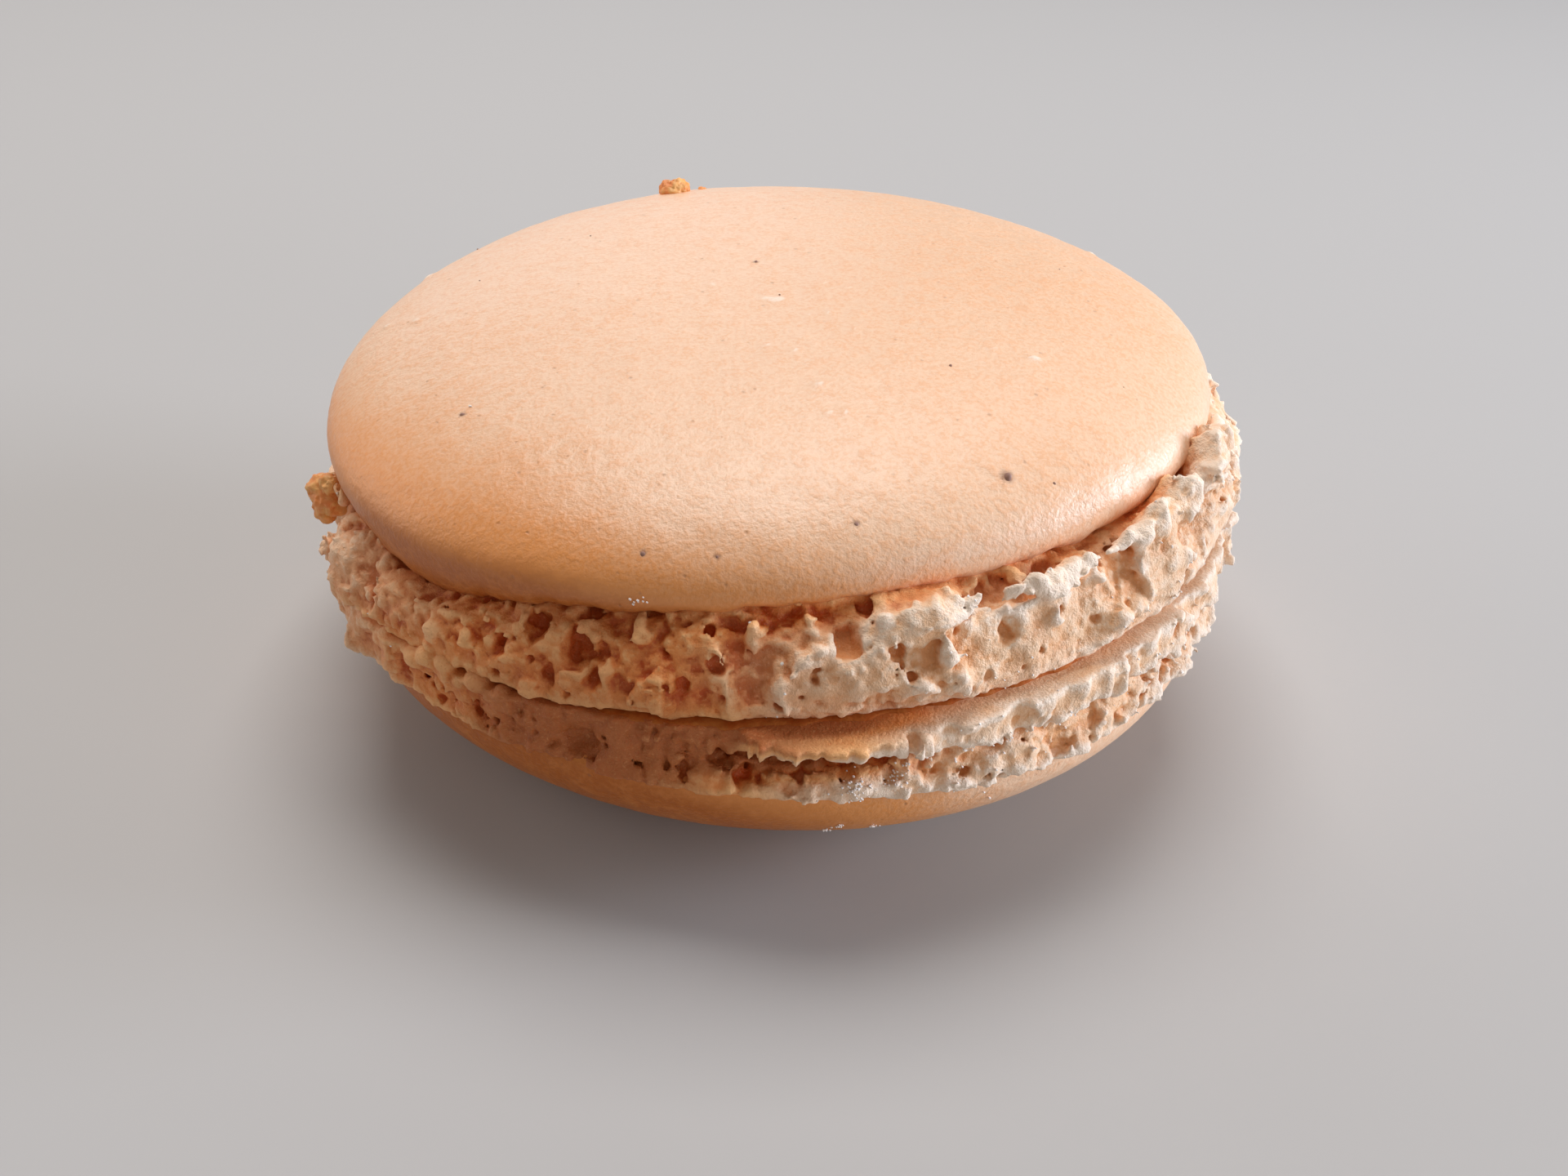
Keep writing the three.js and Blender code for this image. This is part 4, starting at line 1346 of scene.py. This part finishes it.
class MACAROON_OT_loose_crumbs(bpy.types.Operator):
    """Lay the bigger loose crumbs"""
    bl_idname = "macaroon.loose_crumbs"
    bl_label = "Loose crumbs"

    def execute(self, context):
        piece = grown("loose_crumbs", crumb_tree(), {
            "Rough": 0.3, "Detail": 5, "Seed": context.scene.macaroon_sizes.seed,
            "Material": Shared.material(crumb_ball_material),
        }, point_mesh("crumb_spots", LOOSE_CRUMBS))
        declare(piece, "baked_meringue")
        return {"FINISHED"}


class MACAROON_OT_sugar_grains(bpy.types.Operator):
    """Strew fine sugar grains over the dry ridges of the feet"""
    bl_idname = "macaroon.sugar_grains"
    bl_label = "Sugar grains"

    def execute(self, context):
        sizes = context.scene.macaroon_sizes
        names = ("top_crust", "top_foot", "bottom_foot", "bottom_crust")
        pieces = [bpy.data.objects[name] for name in names]
        piece = grown("sugar_grains", sprinkle_tree(), {
            "Upper": bpy.data.objects["top_foot"], "Lower": bpy.data.objects["bottom_foot"],
            "Density": GRAINS_PER_AREA, "Least": sizes.sugar * 0.35, "Most": sizes.sugar * 0.8, "Seed": sizes.seed,
            "Material": Shared.material(sugar_material),
        }, point_mesh("grain_spots", clustered(SUGAR_CLUSTERS, sizes.sugar / MM, sizes.seed, pieces)))
        declare(piece, "baked_meringue")
        return {"FINISHED"}


class MACAROON_OT_spice_specks(bpy.types.Operator):
    """Set the dark specks of spice in the cap"""
    bl_idname = "macaroon.spice_specks"
    bl_label = "Spice specks"

    def execute(self, context):
        spots = [(*on_cap(x, y, -0.28 * width), width) for x, y, width in SPICE_SPECKS]
        piece = grown("spice_specks", crumb_tree(), {
            "Rough": 0.06, "Detail": 3, "Seed": 5, "Material": Shared.material(spice_material),
        }, point_mesh("speck_spots", spots))
        declare(piece, "baked_meringue")
        return {"FINISHED"}


FLOOR_SHADE = (0.72, 0.71, 0.70)
FLOOR_REACH = 1.2     # m each way
# Soft lights: name, place and width in m, power in W, shade.
LIGHTS = [
    ("window", (0.37, 0.02, 0.075), 0.15, 1.6, (0.75, 0.84, 1.0)),
    ("doorway", (0.25, -0.22, 0.07), 0.12, 0.16, (0.82, 0.88, 1.0)),
    ("ceiling", (0.0, 0.1, 0.36), 0.24, 1.14, (1.0, 0.98, 0.98)),
    ("lamp", (0.05, -0.36, 0.24), 0.2, 0.14, (1.0, 0.86, 0.7)),
    ("wall", (-0.34, 0.08, 0.12), 0.24, 0.35, (1.0, 0.93, 0.90)),
    ("skylight", (-0.12, 0.42, 0.17), 0.3, 0.36, (0.82, 0.9, 1.0)),
]
LIT = Vector((0, 0, 0.01))     # what the lights are turned to
EYE = Vector((0.523, -75.454, 49.995)) * MM
AIM = Vector((0.523, -10.288, 10.0)) * MM
EYE_ROLL = math.radians(1.32)
FIELD_OF_VIEW = math.radians(50)


class MACAROON_OT_stage(bpy.types.Operator):
    """Set the pale floor, the soft lights and the camera"""
    bl_idname = "macaroon.stage"
    bl_label = "Stage"

    def execute(self, context):
        scene = context.scene
        mesh = bpy.data.meshes.new("floor")
        corners = ((-1, -1), (1, -1), (1, 1), (-1, 1))
        mesh.from_pydata([(x * FLOOR_REACH, y * FLOOR_REACH, 0) for x, y in corners], [], [(0, 1, 2, 3)])
        mesh.materials.append(finish_material(new_material("floor"), with_alpha(FLOOR_SHADE), 0.9, 0.1))
        floor = linked("floor", mesh)

        for name, place, size, power, shade in LIGHTS:
            light = bpy.data.lights.new(name, "AREA")
            light.size, light.energy, light.color = size, power, shade
            lamp = linked(name, light)
            lamp.location = place
            lamp.rotation_euler = (LIT - Vector(place)).to_track_quat("-Z", "Y").to_euler()
        world = bpy.data.worlds.new("room")
        world.use_nodes = True
        glow = world.node_tree.nodes["Background"].inputs
        glow["Color"].default_value = (1.0, 0.95, 0.90, 1)
        glow["Strength"].default_value = 0.12
        scene.world = world

        eye = bpy.data.cameras.new("eye")
        eye.sensor_width = 36
        eye.lens = 18 / math.tan(FIELD_OF_VIEW / 2)
        eye.clip_start = 0.001
        camera = linked("eye", eye)
        turn = (AIM - EYE).to_track_quat("-Z", "Y").to_matrix().to_4x4()
        camera.matrix_world = Matrix.Translation(EYE) @ turn @ Matrix.Rotation(EYE_ROLL, 4, "Z")
        scene.camera = camera
        scene.view_settings.view_transform = "Standard"
        return {"FINISHED"}


OPERATORS = (
    MACAROON_OT_top_crust, MACAROON_OT_top_foot, MACAROON_OT_filling, MACAROON_OT_bottom_foot,
    MACAROON_OT_bottom_crust, MACAROON_OT_loose_crumbs, MACAROON_OT_sugar_grains,
    MACAROON_OT_spice_specks, MACAROON_OT_stage,
)


class MACAROON_PT_parts(bpy.types.Panel):
    """Lists the macaroon's sizes, colours and pieces"""
    bl_idname = "MACAROON_PT_parts"
    bl_label = "Gingerbread macaroon"
    bl_space_type = "VIEW_3D"
    bl_region_type = "UI"
    bl_category = "Macaroon"

    def draw(self, context):
        for group in (context.scene.macaroon_sizes, context.scene.macaroon_colours):
            box = self.layout.box()
            for name in group.bl_rna.properties.keys():
                if name not in {"rna_type", "name"}:
                    box.prop(group, name)
        for operator in OPERATORS:
            self.layout.operator(operator.bl_idname)


CLASSES = (MacaroonSizes, MacaroonColours, *OPERATORS, MACAROON_PT_parts)


def register():
    for kind in CLASSES:
        bpy.utils.register_class(kind)
    bpy.types.Scene.macaroon_sizes = PointerProperty(type=MacaroonSizes)
    bpy.types.Scene.macaroon_colours = PointerProperty(type=MacaroonColours)


def unregister():
    del bpy.types.Scene.macaroon_colours
    del bpy.types.Scene.macaroon_sizes
    for kind in reversed(CLASSES):
        bpy.utils.unregister_class(kind)


def main():
    register()
    for operator in OPERATORS:
        group, name = operator.bl_idname.split(".")
        getattr(getattr(bpy.ops, group), name)()


if __name__ == "__main__":
    main()
